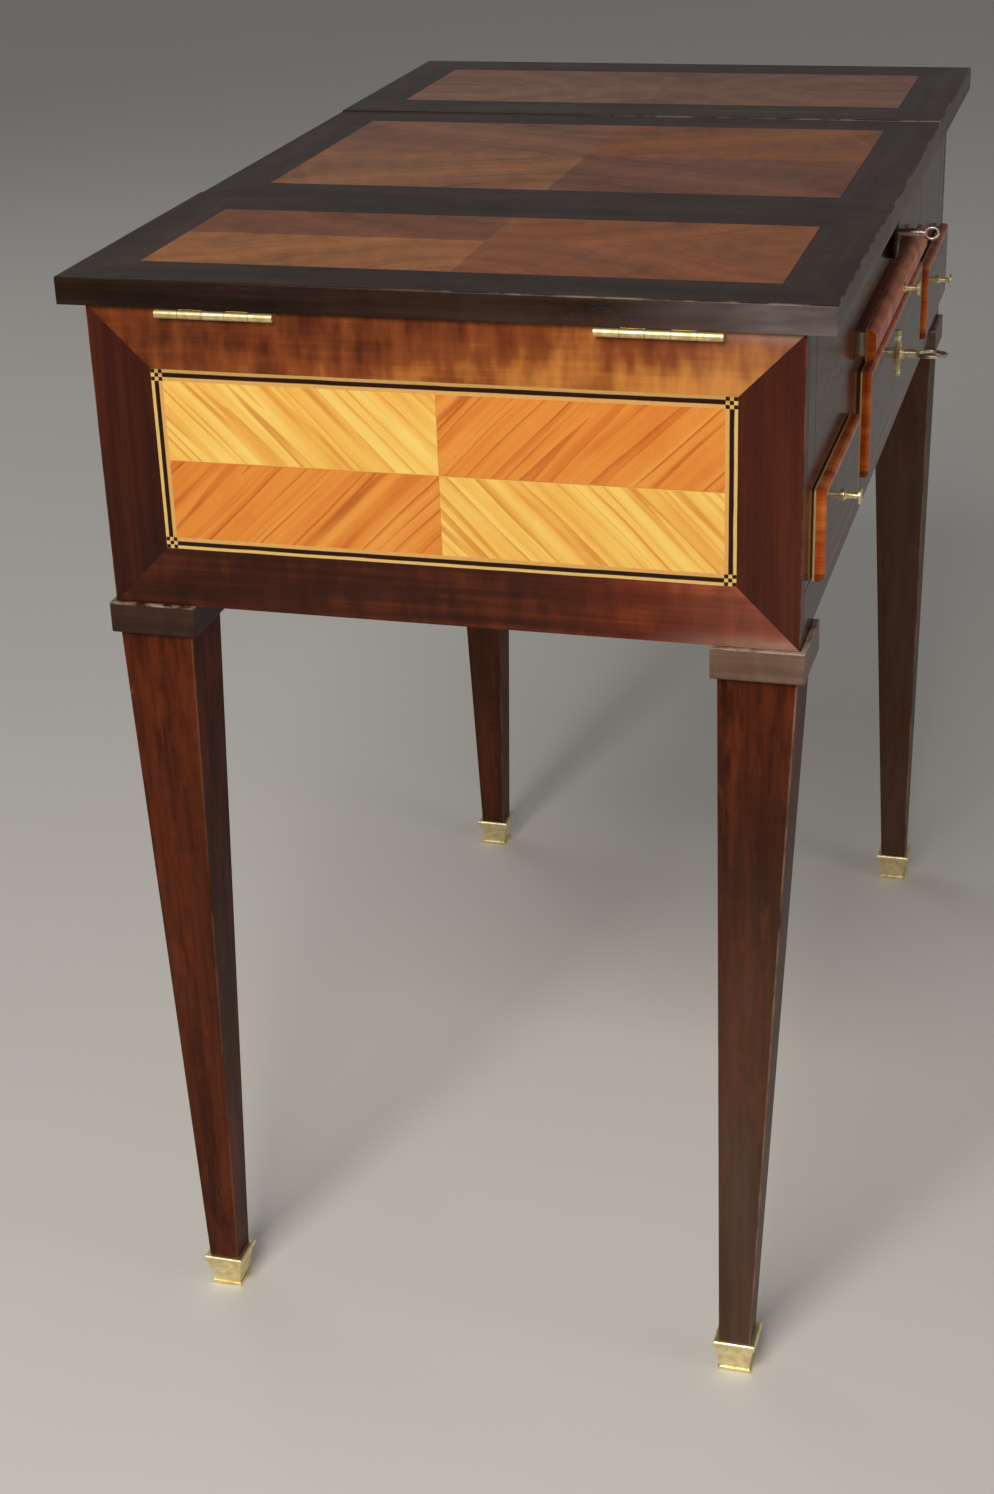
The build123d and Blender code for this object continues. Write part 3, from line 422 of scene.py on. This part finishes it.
def lid(name, seed, panel_x, split_x):
    """Lid: ebonised frame round a quarter-matched panel, dark edges, mahogany underneath."""
    low, high = (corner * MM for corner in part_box(name))
    g = Graph(name)
    y_mid, front = (low.y + high.y) / 2, low.y
    from_x, from_y = rectangle(g.x, g.y, (low.x, high.x), (low.y, high.y))
    in_x, in_y = rectangle(g.x, g.y, panel_x, (y_mid - LID_PANEL_Y, y_mid + LID_PANEL_Y))
    inside = g.least(in_x, in_y)

    long_side, long_height = timber(g, g.y, g.x, g.z, LID_FRAME, seed, 0.15, 0.8, 0.2)
    short_side, short_height = timber(g, g.x, g.y, g.z, LID_FRAME, seed + 1.0, 0.15, 0.8, 0.2)
    is_short = g.edge(in_x - in_y, 0.0)
    surround = g.mix(is_short, long_side, short_side)
    mitre = (1.0 - g.rise(abs(in_x - in_y), 0.1, 0.6)) * (1.0 - g.edge(inside, -1.0))
    surround = g.mix(mitre * 0.35, surround, LID_MITRE)

    u, v = mirrored(g.x, split_x), mirrored(g.y, y_mid)
    sweep = (g.noise(u / 110.0, v / 150.0, 0.0, seed + 2.0, 2.0) - 0.5) * 90.0
    along, across = v * 0.9 + u * 0.44, u * 0.9 - v * 0.44 + sweep
    tone, pit = figure(g, along, across, 0.0 * g.z, seed + 3.0, 0.3, 1.15)
    base = quarters(g, g.y, g.x, y_mid, split_x, LID_QUARTERS[name])
    panel = g.scale(base, tone * 0.8 + 0.6 - pit * 0.08)
    joint = 1.0 - g.rise(g.least(u, v), 0.05, 0.35)
    panel = g.mix(joint * 0.3, panel, EBONY)
    top = g.mix(g.edge(inside, 0.0, 0.5), surround, panel)
    border = g.between(inside, -0.9, 0.3, 0.3)
    top = g.mix(border * 0.4, top, PANEL_BORDER)
    front_seam = border * g.edge(y_mid - g.y, LID_PANEL_Y - 4.0)
    top = g.mix(front_seam * 0.8, top, EBONY)
    hairs = scratches(g, g.x, g.y, seed)
    top = g.mix(hairs * 0.14, top, SCRATCH)
    dust = g.noise(g.x / 1.2, g.y / 1.2, 0.0, seed + 15.0, 1.0)
    top = g.mix(g.rise(dust, 0.82, 0.85) * 0.5, top, DUST)
    top_height = g.blend(g.edge(inside, 0.0), g.blend(is_short, long_height, short_height), tone * 0.3)
    top_height = top_height - joint - border * 0.3 - hairs * 0.08

    side, side_height = timber(g, g.y + g.x * 0.97, g.z, g.x * 0.2, LID_FRAME, seed + 5.0, 0.1, 1.2)
    side = g.scale(side, 0.75)
    # Painted reflection with some rubbed finish: the lid's edges are lightened grey towards the front of
    # the lid.
    rubbing_and_sheen = g.rise(front + 150.0 - g.y, 0.0, 140.0) * g.noise(g.y / 40.0, g.z / 9.0, 0.0, seed + 17.0, 2.0)
    side = g.mix(rubbing_and_sheen * 1.1, side, LID_RUBBED_SHEEN)
    under, under_height = timber(g, g.y, g.x, g.z, MAHOGANY, seed + 6.0, 0.12)
    under_face = (1.0 - g.edge(g.z, low.z + VENEER)) * g.edge(g.least(from_x, from_y), 2.0)
    pocket = g.edge(g.least(from_x, from_y), 2.5) * (1.0 - g.edge(g.z, high.z - 2.0))
    colour = g.mix(g.edge(g.z, high.z - VENEER), side, top)
    colour = g.mix(g.most(under_face, pocket), colour, under)
    height = g.blend(g.edge(g.z, high.z - VENEER), side_height, top_height)
    height = g.blend(under_face, height, under_height)
    # Painted glint with some wear: a pale line along the top arrises, mostly over the front of the lid.
    at_arris = 1.0 - g.rise(g.least(from_x, from_y), 0.2, 1.4)
    wear_and_glint = at_arris * g.rise(g.z, high.z - 1.4, high.z - 0.2)
    patchy = g.rise(g.noise(g.x / 22.0, g.y / 22.0, 0.0, seed + 8.0, 3.0), 0.4, 0.6)
    wear_and_glint = wear_and_glint * patchy * g.rise(y_mid + 60.0 - g.y, 0.0, 120.0)
    colour = g.mix(wear_and_glint * 0.6, colour, LID_ARRIS_GLINT)
    rough = polish(g, 0.2, 0.2) + hairs * 0.2
    return g.done(colour, rough, height, 0.04, ior=1.22)


def back_board(name, seed):
    """Outside of the back: dark frame round quarter-matched mahogany; oak inside."""
    low, high = (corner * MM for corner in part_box(name))
    g = Graph(name)
    x_mid, z_mid = (low.x + high.x) / 2, (low.z + high.z) / 2
    from_x, from_z = rectangle(g.x, g.z, (low.x, high.x), (low.z, high.z))
    rim = g.least(from_x, from_z)
    stile, _ = timber(g, g.z, g.x, g.y, STILE, seed)
    rail, rail_height = timber(g, g.x, g.z, g.y, STILE, seed + 1.0)
    surround = g.mix(g.edge(from_z - from_x, 0.0), rail, stile)
    u, v = mirrored(g.x, x_mid), mirrored(g.z, z_mid)
    field, field_height = timber(g, u * 0.9 + v * 0.43, v * 0.9 - u * 0.43, g.y, MAHOGANY, seed + 2.0, 0.4)
    colour = g.mix(g.edge(rim, BACK_FRAME), surround, field)
    string = g.between(rim, BACK_FRAME - STRING, BACK_FRAME)
    colour = g.mix(string * 0.8, colour, BOXWOOD)
    joint = 1.0 - g.rise(g.least(u, v), 0.05, 0.4)
    colour = g.mix(joint * 0.4 * g.edge(rim, BACK_FRAME), colour, GLUE_LINE)
    oak, oak_height = timber(g, g.x, g.z, g.y, OAK, seed + 3.0)
    face = g.edge(g.y, high.y - VENEER)
    colour = g.mix(face, oak, colour)
    height = g.blend(face, oak_height, g.blend(g.edge(rim, BACK_FRAME), rail_height, field_height))
    return g.done(colour, polish(g, 0.26, 0.16), height, 0.05)


def front_wood(name, upright, seed):
    """Rails, stiles and frieze of the front: dark polished veneer over an oak core."""
    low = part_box(name)[0] * MM
    g = Graph(name)
    along, across = (g.z, g.x) if upright else (g.x, g.z)
    veneer, height = timber(g, along, across, g.y, FRONT, seed, 0.12, 0.9)
    oak, oak_height = timber(g, along, across, g.y, OAK, seed + 1.0)
    face = 1.0 - g.edge(g.y, low.y + VENEER + 0.5)
    colour = g.mix(face, oak, veneer)
    return g.done(colour, polish(g, 0.08, 0.1), g.blend(face, oak_height, height), 0.02, ior=1.17)


def crossbanding(g, low, high, seed, palette=TULIP_LIP):
    """Banding whose grain runs out from the middle on all four sides of an X-Z rectangle."""
    from_x, from_z = rectangle(g.x, g.z, (low.x, high.x), (low.z, high.z))
    on_side = g.edge(from_z - from_x, 0.0)
    side, side_height = timber(g, g.x + g.y, g.z, 0.0 * g.y, palette, seed, 0.3, 1.3, 0.35)
    level, level_height = timber(g, g.z + g.y, g.x, 0.0 * g.y, palette, seed + 1.0, 0.3, 1.3, 0.35)
    return g.mix(on_side, level, side), g.blend(on_side, level_height, side_height), from_x, from_z


def drawer_front(name, seed):
    """Lipped drawer front: tulipwood lip, dark band and quarter-matched panel; oak block behind."""
    low, high = (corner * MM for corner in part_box(name))
    g = Graph(name)
    lip, lip_height, from_x, from_z = crossbanding(g, low, high, seed)
    rim = g.least(from_x, from_z)
    x_mid, z_mid = (low.x + high.x) / 2, (low.z + high.z) / 2
    band, band_height = timber(g, g.x, g.z, g.y, FRONT, seed + 2.0, 0.15)
    u, v = mirrored(g.x, x_mid), mirrored(g.z, z_mid)
    panel, panel_height = timber(g, u + v * 0.6, v - u * 0.6, g.y, FRONT_PANEL, seed + 3.0, 0.25)
    face = g.mix(g.edge(rim, DRAWER_BEAD + DRAWER_BAND), band, panel)
    string = g.between(rim, DRAWER_BEAD + DRAWER_BAND - 0.8, DRAWER_BEAD + DRAWER_BAND, 0.1)
    face = g.mix(string * 0.3, face, BOXWOOD)
    joint = 1.0 - g.rise(g.least(u, v), 0.05, 0.3)
    face = g.mix(joint * 0.4, face, GLUE_LINE)
    is_face = g.edge(rim, DRAWER_BEAD) * (1.0 - g.edge(g.y, low.y + VENEER))
    shaded = 1.0 - g.edge(g.z, low.z + DRAWER_BEAD)
    lip = g.mix(shaded * 0.6, lip, band)
    colour = g.mix(is_face, lip, face)
    upper = g.edge(g.z, high.z - 1.2, 0.6) * (1.0 - is_face)
    # Painted shade: the top face of the lip takes a darker copy of its tulipwood.
    shaded_lip_top, _, _, _ = crossbanding(g, low, high, seed, TULIP_SHADED_TOP)
    colour = g.mix(upper * 0.55, colour, shaded_lip_top)
    back = low.y + LIP_DEPTH
    back_line = g.edge(g.y, back - LIP_LINE, 0.2) * (1.0 - g.edge(g.y, back, 0.1))
    colour = g.mix(back_line * (0.95 - upper * 0.55), colour, LIP_PALE)
    oak, oak_height = timber(g, g.x, g.z, g.y, OAK, seed + 5.0)
    block = g.edge(g.y, back, 0.05)
    colour = g.mix(block, colour, oak)
    height = g.blend(is_face, lip_height, g.blend(g.edge(rim, DRAWER_BAND), band_height, panel_height))
    height = g.blend(block, height, oak_height)
    return g.done(colour, polish(g, 0.08, 0.1), height, 0.03, ior=1.17)


def slide_lip(name, seed):
    """Bull-nosed tulipwood lip of the slide, with a pale line where it meets the board."""
    low, high = (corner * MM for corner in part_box(name))
    g = Graph(name)
    colour, height, _, _ = crossbanding(g, low, high, seed)
    # Painted shade: the top of the slide's lip takes a darker copy of its tulipwood.
    shaded_lip_top, _, _, _ = crossbanding(g, low, high, seed, TULIP_SHADED_TOP)
    colour = g.mix(g.edge(g.z, high.z - 1.5, 0.8) * 0.55, colour, shaded_lip_top)
    line = g.edge(g.y, high.y - SLIDE_LINE, 0.2)
    colour = g.mix(line * 0.6, colour, SLIDE_PALE)
    return g.done(colour, polish(g, 0.18, 0.12), height, 0.04)


def slide_board(name, seed):
    """Pull-out slide: banded mahogany top on a pale board whose edges show."""
    low, high = (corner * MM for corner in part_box(name))
    g = Graph(name)
    from_x, from_y = rectangle(g.x, g.y, (low.x, high.x), (low.y, high.y))
    rim = g.least(from_x, from_y)
    core, core_height = timber(g, g.x, g.z, g.y, SLIDE_CORE, seed)
    field, field_height = timber(g, g.x, g.y, g.z, MAHOGANY, seed + 1.0, 0.3)
    cross = g.edge(from_y - from_x, 0.0)
    band_x, _ = timber(g, g.x, g.y, g.z, TULIP_LIP, seed + 2.0, 0.2, 1.2, 0.35)
    band_y, _ = timber(g, g.y, g.x, g.z, TULIP_LIP, seed + 3.0, 0.2, 1.2, 0.35)
    top = g.mix(g.edge(rim, SLIDE_BAND), g.mix(cross, band_y, band_x), field)
    string = g.between(rim, SLIDE_BAND - STRING, SLIDE_BAND)
    top = g.mix(string * 0.85, top, BOXWOOD)
    is_top = g.edge(g.z, high.z - VENEER)
    colour = g.mix(is_top, core, top)
    return g.done(colour, polish(g, 0.24, 0.14), g.blend(is_top, core_height, field_height), 0.04)


def front_arris(name):
    """Foot and head of a leg's front left arris, in millimetres."""
    found = []
    for level in (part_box("leg_shoes")[1].z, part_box("leg_collars")[1].z):
        ring = [v.co for v in nodes[name].data.vertices if abs(v.co.z - level) < 1e-4]
        found.append(min(ring, key=lambda point: point.x + point.y) * MM)
    return found


def leg(name, seed, greyed, early):
    """Square tapered leg, dark reddish brown with upright flames, greyed towards the foot, with a painted
    highlight and some rubbing along its front left arris.
    """
    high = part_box(name)[1] * MM
    g = Graph(name)
    colour, height = timber(g, g.z, g.x, g.y, LEG, seed, 0.1, 1.0)
    flame = g.noise(g.z / 30.0, g.x / 5.0, g.y / 5.0, seed + 2.0, 3.0, 0.6, 0.4)
    broad = g.noise(g.z / 120.0, g.x / 26.0, g.y / 26.0, seed + 3.0, 1.0)
    colour = g.mix(g.rise(flame * 0.6 + broad * 0.4, 0.44, 0.68) * 0.75, colour, LEG_FLAME)
    # Greyer towards the foot, in patches.
    greying_patches = g.noise(g.z / 90.0, g.x / 9.0, g.y / 9.0, seed + 8.0, 3.0) * 0.9 + 0.3
    greying = g.rise(high.z * (0.95 + early) - g.z, 0.0, high.z * 0.7) * greyed
    colour = g.mix(greying * greying_patches, colour, LEG_GREYED)
    under_collar = g.between(g.z, high.z - 26.0, high.z - 19.5, 2.0)
    colour = g.mix(under_collar * 0.35, colour, LEG_HEAD)
    # Painted highlight with some rubbing: a pale line down the front left arris, stronger on the greyer
    # legs.
    foot, head = front_arris(name)
    share = (g.z - foot.z) / (head.z - foot.z)
    off = g.most(abs(g.x - g.blend(share, foot.x, head.x)), abs(g.y - g.blend(share, foot.y, head.y)))
    rubbing_and_sheen = g.rise(g.noise(0.0, 0.0, g.z / 34.0, seed + 6.0, 2.0), 0.3, 0.65)
    rubbing_and_sheen = (1.0 - g.rise(off, 0.4, 1.5)) * rubbing_and_sheen * (0.1 + greyed * 0.5)
    colour = g.mix(rubbing_and_sheen, colour, LEG_ARRIS_GLINT)
    knock = g.noise(g.x / 5.0, g.y / 5.0, g.z / 14.0, seed + 4.0, 2.0)
    colour = g.mix(g.rise(knock, 0.74, 0.8) * 0.5, colour, LEG_KNOCK)
    return g.done(colour, polish(g, 0.3, 0.2), height, 0.04, ior=1.16)


def collar(name, seed):
    """Collars at the heads of the legs: crossbanded, with a painted greyish reflection on the front ones, a
    pale painted highlight with some rubbing along the top, and darker at the bottom.
    """
    low, high = (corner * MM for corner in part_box(name))
    g = Graph(name)
    # Painted reflection: the front collars take the lighter greyish copy, and the back collars take the
    # plain dark one.
    front, height = timber(g, g.x + g.y, g.z, 0.0 * g.z, COLLAR_FRONT_SHEEN, seed, 0.3, 0.8, 0.2)
    back, _ = timber(g, g.x + g.y, g.z, 0.0 * g.z, COLLAR_BACK, seed, 0.3, 0.8, 0.2)
    colour = g.mix(g.edge(g.y, (low.y + high.y) / 2), front, back)
    # Painted highlight with some rubbing: a pale line along the tops of the collars.
    rub = g.noise(g.x / 9.0, g.y / 9.0, g.z / 5.0, seed + 2.0, 3.0)
    wear_and_glint = g.rise(g.z, high.z - 1.4, high.z - 0.5) * g.rise(rub, 0.35, 0.6)
    colour = g.mix(wear_and_glint * 0.7, colour, COLLAR_RUBBED_GLINT)
    # Darker over the lowest 2.2 mm of the collars.
    darker_below = 1.0 - g.rise(g.z, low.z, low.z + 2.2)
    colour = g.mix(darker_below * 0.4, colour, COLLAR_FOOT_DARK)
    return g.done(colour, polish(g, 0.24, 0.18), height, 0.05)


def plain_wood(name, axis, palette, seed, rough=(0.32, 0.2), mottle=0.0):
    """Wood with its grain along one axis, for boards, blocks and linings."""
    g = Graph(name)
    order = {"x": (g.x, g.y, g.z), "y": (g.y, g.x, g.z), "z": (g.z, g.x, g.y)}[axis]
    colour, height = timber(g, *order, palette, seed, mottle)
    return g.done(colour, polish(g, *rough), height, 0.06)


def drawer_side_wood(name, seed):
    """Oak drawer sides with the end grain of the back's pins showing as dovetails."""
    low, high = (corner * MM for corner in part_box(name))
    g = Graph(name)
    oak, height = timber(g, g.y, g.z, g.x, OAK, seed)
    tall = high.z - low.z
    count = max(2, round(tall / 22))
    step = g.maths("PINGPONG", (g.z - low.z) / (tall / count), 0.5)
    base = high.y - PIN_DEPTH
    reach = g.rise(g.y, base, high.y)
    in_back = g.edge(g.y, base, 0.1)
    pin = g.edge(step, 0.36, 0.012) * in_back
    pin = g.least(pin, g.edge(step - reach * 0.06, 0.33, 0.012))
    outline = g.between(step - reach * 0.06, 0.325, 0.345, 0.006) * in_back
    shoulder = g.between(g.y, base - 0.3, base + 0.1, 0.08)
    colour = g.mix(pin * 0.55, oak, OAK[3])
    colour = g.mix(g.most(outline, shoulder) * 0.6, colour, DOVETAIL_LINE)
    return g.done(colour, polish(g, 0.4, 0.2), height, 0.07)


# ---- Metals and glass ----
def metal(name, bright, dull, patina, rough, tarnish=0.5):
    """Cast or drawn metal: handled bright places, duller clouds and patina in small spots."""
    g = Graph(name)
    cloud = g.noise(g.x / 6.0, g.y / 6.0, g.z / 6.0, 2.0, 4.0, 0.6)
    speck = g.noise(g.x / 1.1, g.y / 1.1, g.z / 1.1, 5.0, 3.0, 0.65)
    drawn = g.noise(g.x / 3.0, g.y / 3.0, g.z / 0.35, 7.0, 2.0)
    colour = g.mix(g.rise(cloud, 0.36, 0.66), bright, dull)
    colour = g.mix(g.rise(speck, 0.56, 0.74) * tarnish, colour, patina)
    roughness = rough + g.rise(cloud, 0.3, 0.75) * 0.18 + speck * 0.08
    return g.done(colour, roughness, cloud * 0.5 + speck * 0.35 + drawn * 0.15, 0.05, metallic=1.0)


def old_mirror(name, bead):
    """Silvered glass, foxed a little towards its edges."""
    low, high = (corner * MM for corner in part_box(bead))
    g = Graph(name)
    from_x, from_y = rectangle(g.x, g.y, (low.x, high.x), (low.y, high.y))
    rim = g.least(from_x, from_y)
    spots = g.noise(g.x / 5.0, g.y / 5.0, 0.0, 3.0, 5.0, 0.7)
    foxing = g.rise(spots - g.rise(rim, 8.0, 60.0) * 0.22, 0.52, 0.62)
    colour = g.mix(foxing * 0.75, SILVERING, FOXING)
    return g.done(colour, foxing * 0.35 + 0.03, spots, 0.004, metallic=1.0)


# ---- Materials on the CAD nodes ----
left_lid, right_lid = (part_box(f"lid_{part}") for part in ("left", "right"))
left_panel = (left_lid[0].x * MM + LID_PANEL_OUTER, left_lid[1].x * MM - LID_PANEL_JOINT)
right_panel = (right_lid[0].x * MM + LID_PANEL_JOINT, right_lid[1].x * MM - LID_PANEL_OUTER)
centre_panel = (-LID_PANEL_CENTRE, LID_PANEL_CENTRE)

brass = metal("brass", srgb(252, 240, 198), srgb(234, 212, 156), srgb(140, 112, 68), 0.32, 0.3)
worn_brass = metal("worn_brass", srgb(246, 228, 176), srgb(214, 188, 130), srgb(96, 74, 44), 0.34, 0.5)
bronze = metal("dark_bronze", srgb(58, 44, 34), srgb(34, 26, 21), srgb(18, 13, 11), 0.3)
steel = metal("steel", srgb(216, 196, 184), srgb(178, 154, 142), srgb(96, 70, 56), 0.22, 0.35)
key_steel = metal("key_steel", srgb(222, 214, 186), srgb(182, 172, 142), srgb(96, 80, 54), 0.22, 0.35)
lock_iron = metal("lock_iron", srgb(150, 142, 132), srgb(112, 104, 96), srgb(74, 54, 40), 0.34, 0.8)
bottom_oak = plain_wood("oak_bottoms", "x", OAK, 31.0)

looks = {
    "case_end_left": end_board("case_end_left", 1.3),
    "case_end_right": end_board("case_end_right", 5.9),
    "case_back": back_board("case_back", 8.2),
    "lid_left": lid("lid_left", 2.1, left_panel, sum(left_panel) / 2 + LID_SPLIT_SHIFT),
    "lid_centre": lid("lid_centre", 14.6, centre_panel, 0.0),
    "lid_right": lid("lid_right", 27.4, right_panel, sum(right_panel) / 2),
    "front_rail": front_wood("front_rail", False, 3.3),
    "front_stiles": front_wood("front_stiles", True, 4.1),
    "false_fronts": front_wood("false_fronts", False, 6.6),
    "front_frieze": front_wood("front_frieze", False, 7.4),
    "slide_lip": slide_lip("slide_lip", 11.0),
    "slide_board": slide_board("slide_board", 12.0),
    "slide_bed": plain_wood("slide_bed", "x", FRONT, 33.0, (0.2, 0.14)),
    "leg_collars": collar("leg_collars", 16.0),
    "mirror_glass": old_mirror("mirror_glass", "mirror_bead"),
    "mirror_bead": plain_wood("mirror_bead", "y", LEG, 18.0, (0.2, 0.14)),
    "case_bottom": bottom_oak,
    "well_floors": plain_wood("well_floors", "y", OAK, 35.0),
    "partitions": plain_wood("partitions", "y", OAK, 36.0),
    "runners_centre": plain_wood("runners_centre", "y", OAK, 37.0),
    "runners_side": plain_wood("runners_side", "y", OAK, 38.0),
    "drawer_guides": plain_wood("drawer_guides", "y", OAK, 39.0),
    "lid_escutcheon": bronze,
    "lid_key": steel,
    "lid_strike": worn_brass,
    "drawer_escutcheon": brass,
    "drawer_key": key_steel,
    "leg_shoes": brass,
    "slide_knob": brass,
}
leg_greying = {
    "front_left": (0.95, -0.1),
    "front_right": (0.9, 0.35),
    "back_left": (0.12, 0.0),
    "back_right": (0.3, 0.0),
}
for seed, (place, (greyed, early)) in enumerate(leg_greying.items()):
    looks[f"leg_{place}"] = leg(f"leg_{place}", 51.0 + seed * 1.7, greyed, early)
for part, seed in (("left", 41.0), ("centre", 44.0), ("right", 47.0)):
    looks[f"drawer_{part}_front"] = drawer_front(f"drawer_{part}_front", seed)
    looks[f"drawer_{part}_sides"] = drawer_side_wood(f"drawer_{part}_sides", seed + 1)
    looks[f"drawer_{part}_back"] = bottom_oak
    looks[f"drawer_{part}_bottom"] = bottom_oak
    looks[f"hinge_leaves_lid_{part}"] = worn_brass
    looks[f"hinge_screws_lid_{part}"] = worn_brass
for part in ("left", "right"):
    looks[f"drawer_{part}_knob"] = brass
for part in ("lid", "drawer"):
    looks[f"{part}_lock_case"] = lock_iron
    looks[f"{part}_lock_bolt"] = lock_iron
for part in ("leaves_case", "pins", "screws_case"):
    looks[f"hinge_{part}"] = worn_brass

for name, material in looks.items():
    for slot in nodes[name].material_slots:
        slot.material = material


# ---- Soft shading and small arrises on the CAD nodes, by modifiers alone ----
def softening(angle):
    """Geometry nodes that join the facets and shade smooth across edges flatter than angle."""
    group = bpy.data.node_groups.new("soften", "GeometryNodeTree")
    group.interface.new_socket("Geometry", in_out="INPUT", socket_type="NodeSocketGeometry")
    group.interface.new_socket("Geometry", in_out="OUTPUT", socket_type="NodeSocketGeometry")
    given = group.nodes.new("NodeGroupInput").outputs[0]
    weld = group.nodes.new("GeometryNodeMergeByDistance")
    weld.inputs["Distance"].default_value = 1e-6
    drop = group.nodes.new("GeometryNodeRemoveAttribute")
    drop.inputs["Name"].default_value = "custom_normal"
    faces = group.nodes.new("GeometryNodeSetShadeSmooth")
    faces.domain = "FACE"
    edges = group.nodes.new("GeometryNodeSetShadeSmooth")
    edges.domain = "EDGE"
    bend = group.nodes.new("GeometryNodeInputMeshEdgeAngle")
    flat = group.nodes.new("FunctionNodeCompare")
    flat.data_type = "FLOAT"
    flat.operation = "LESS_THAN"
    flat.inputs["B"].default_value = angle
    group.links.new(bend.outputs["Unsigned Angle"], flat.inputs["A"])
    group.links.new(flat.outputs[0], edges.inputs["Shade Smooth"])
    last = given
    for step in (weld, drop, faces, edges):
        group.links.new(last, step.inputs["Geometry"])
        last = step.outputs["Geometry"]
    group.links.new(last, group.nodes.new("NodeGroupOutput").inputs[0])
    return group


soften = softening(math.radians(32))
metal_words = ("hinge", "key", "knob", "escutcheon", "lock", "strike", "glass")
fine_arris, wood_arris = 0.0002, 0.0006
flat_angle, arris_angle = math.radians(0.5), math.radians(40)
for name, piece in nodes.items():
    shading = piece.modifiers.new("soften", "NODES")
    shading.node_group = soften
    if any(word in name for word in metal_words):
        continue
    merge = piece.modifiers.new("whole_faces", "DECIMATE")
    merge.decimate_type = "DISSOLVE"
    merge.angle_limit = flat_angle
    bevel = piece.modifiers.new("arris", "BEVEL")
    bevel.width = fine_arris if "shoes" in name or "bead" in name else wood_arris
    bevel.segments = 2
    bevel.limit_method = "ANGLE"
    bevel.angle_limit = arris_angle
    bevel.use_clamp_overlap = True
    weighted = piece.modifiers.new("flat_normals", "WEIGHTED_NORMAL")
    weighted.keep_sharp = True


# ---- Floor, light and camera ----
def floor_disc(radius, colour, cloud_colour):
    """A plain pale floor: one round face with a faint cloudiness in its material."""
    points = 96
    turns = [math.tau * i / points for i in range(points)]
    ring = [(radius * math.cos(turn), radius * math.sin(turn), 0.0) for turn in turns]
    mesh = bpy.data.meshes.new("floor")
    mesh.from_pydata(ring, [], [list(range(points))])
    floor = bpy.data.objects.new("floor", mesh)
    bpy.context.scene.collection.objects.link(floor)
    g = Graph("floor")
    cloud = g.noise(g.x / 400.0, g.y / 400.0, 0.0, 1.0, 3.0)
    mesh.materials.append(g.done(g.mix(cloud * 0.3, colour, cloud_colour), 0.6))


def lamp(name, place, target, size, power, colour=(1.0, 1.0, 1.0)):
    """A soft square area lamp that looks at target."""
    data = bpy.data.lights.new(name, "AREA")
    data.size = size
    data.energy = power
    data.color = colour
    made = bpy.data.objects.new(name, data)
    made.location = place
    made.rotation_euler = (Vector(target) - Vector(place)).to_track_quat("-Z", "Y").to_euler()
    bpy.context.scene.collection.objects.link(made)


def photograph_camera(place, yaw, pitch, roll, lens):
    """The camera at the photograph's place, from its yaw, pitch and roll in radians."""
    ahead = Vector(
        (math.cos(pitch) * math.cos(yaw), math.cos(pitch) * math.sin(yaw), math.sin(pitch))
    )
    level = ahead.cross(Vector((0, 0, 1))).normalized()
    upright = level.cross(ahead)
    right = level * math.cos(roll) + upright * math.sin(roll)
    up = upright * math.cos(roll) - level * math.sin(roll)
    data = bpy.data.cameras.new("camera")
    data.sensor_width = 36.0
    data.lens = lens
    camera = bpy.data.objects.new("camera", data)
    turn = Matrix((right, up, -ahead)).transposed().to_4x4()
    camera.matrix_world = Matrix.Translation(place) @ turn
    bpy.context.scene.collection.objects.link(camera)
    bpy.context.scene.camera = camera


floor_disc(14.0, (0.76, 0.735, 0.69), (0.68, 0.655, 0.61))
middle = (0.0, 0.0, 0.5)
lamp("key", (-2.3, 0.2, 2.15), middle, 1.2, 53.0, (1.0, 0.97, 0.93))
lamp("front_fill", (-0.9, -2.6, 1.4), middle, 1.2, 8.0, (1.0, 0.96, 0.9))
lamp("back_fill", (1.6, 2.4, 2.4), middle, 2.0, 10.0)
world = bpy.data.worlds.new("studio")
world.use_nodes = True
room_grey = 0.17
background = world.node_tree.nodes["Background"]
background.inputs["Color"].default_value = (room_grey, room_grey, room_grey, 1.0)
bpy.context.scene.world = world
photograph_camera(
    place=(-1.65256, -0.39115, 1.07892), yaw=0.285546, pitch=-0.438331, roll=-0.0357727, lens=57.587
)
bpy.context.scene.view_settings.view_transform = "Standard"
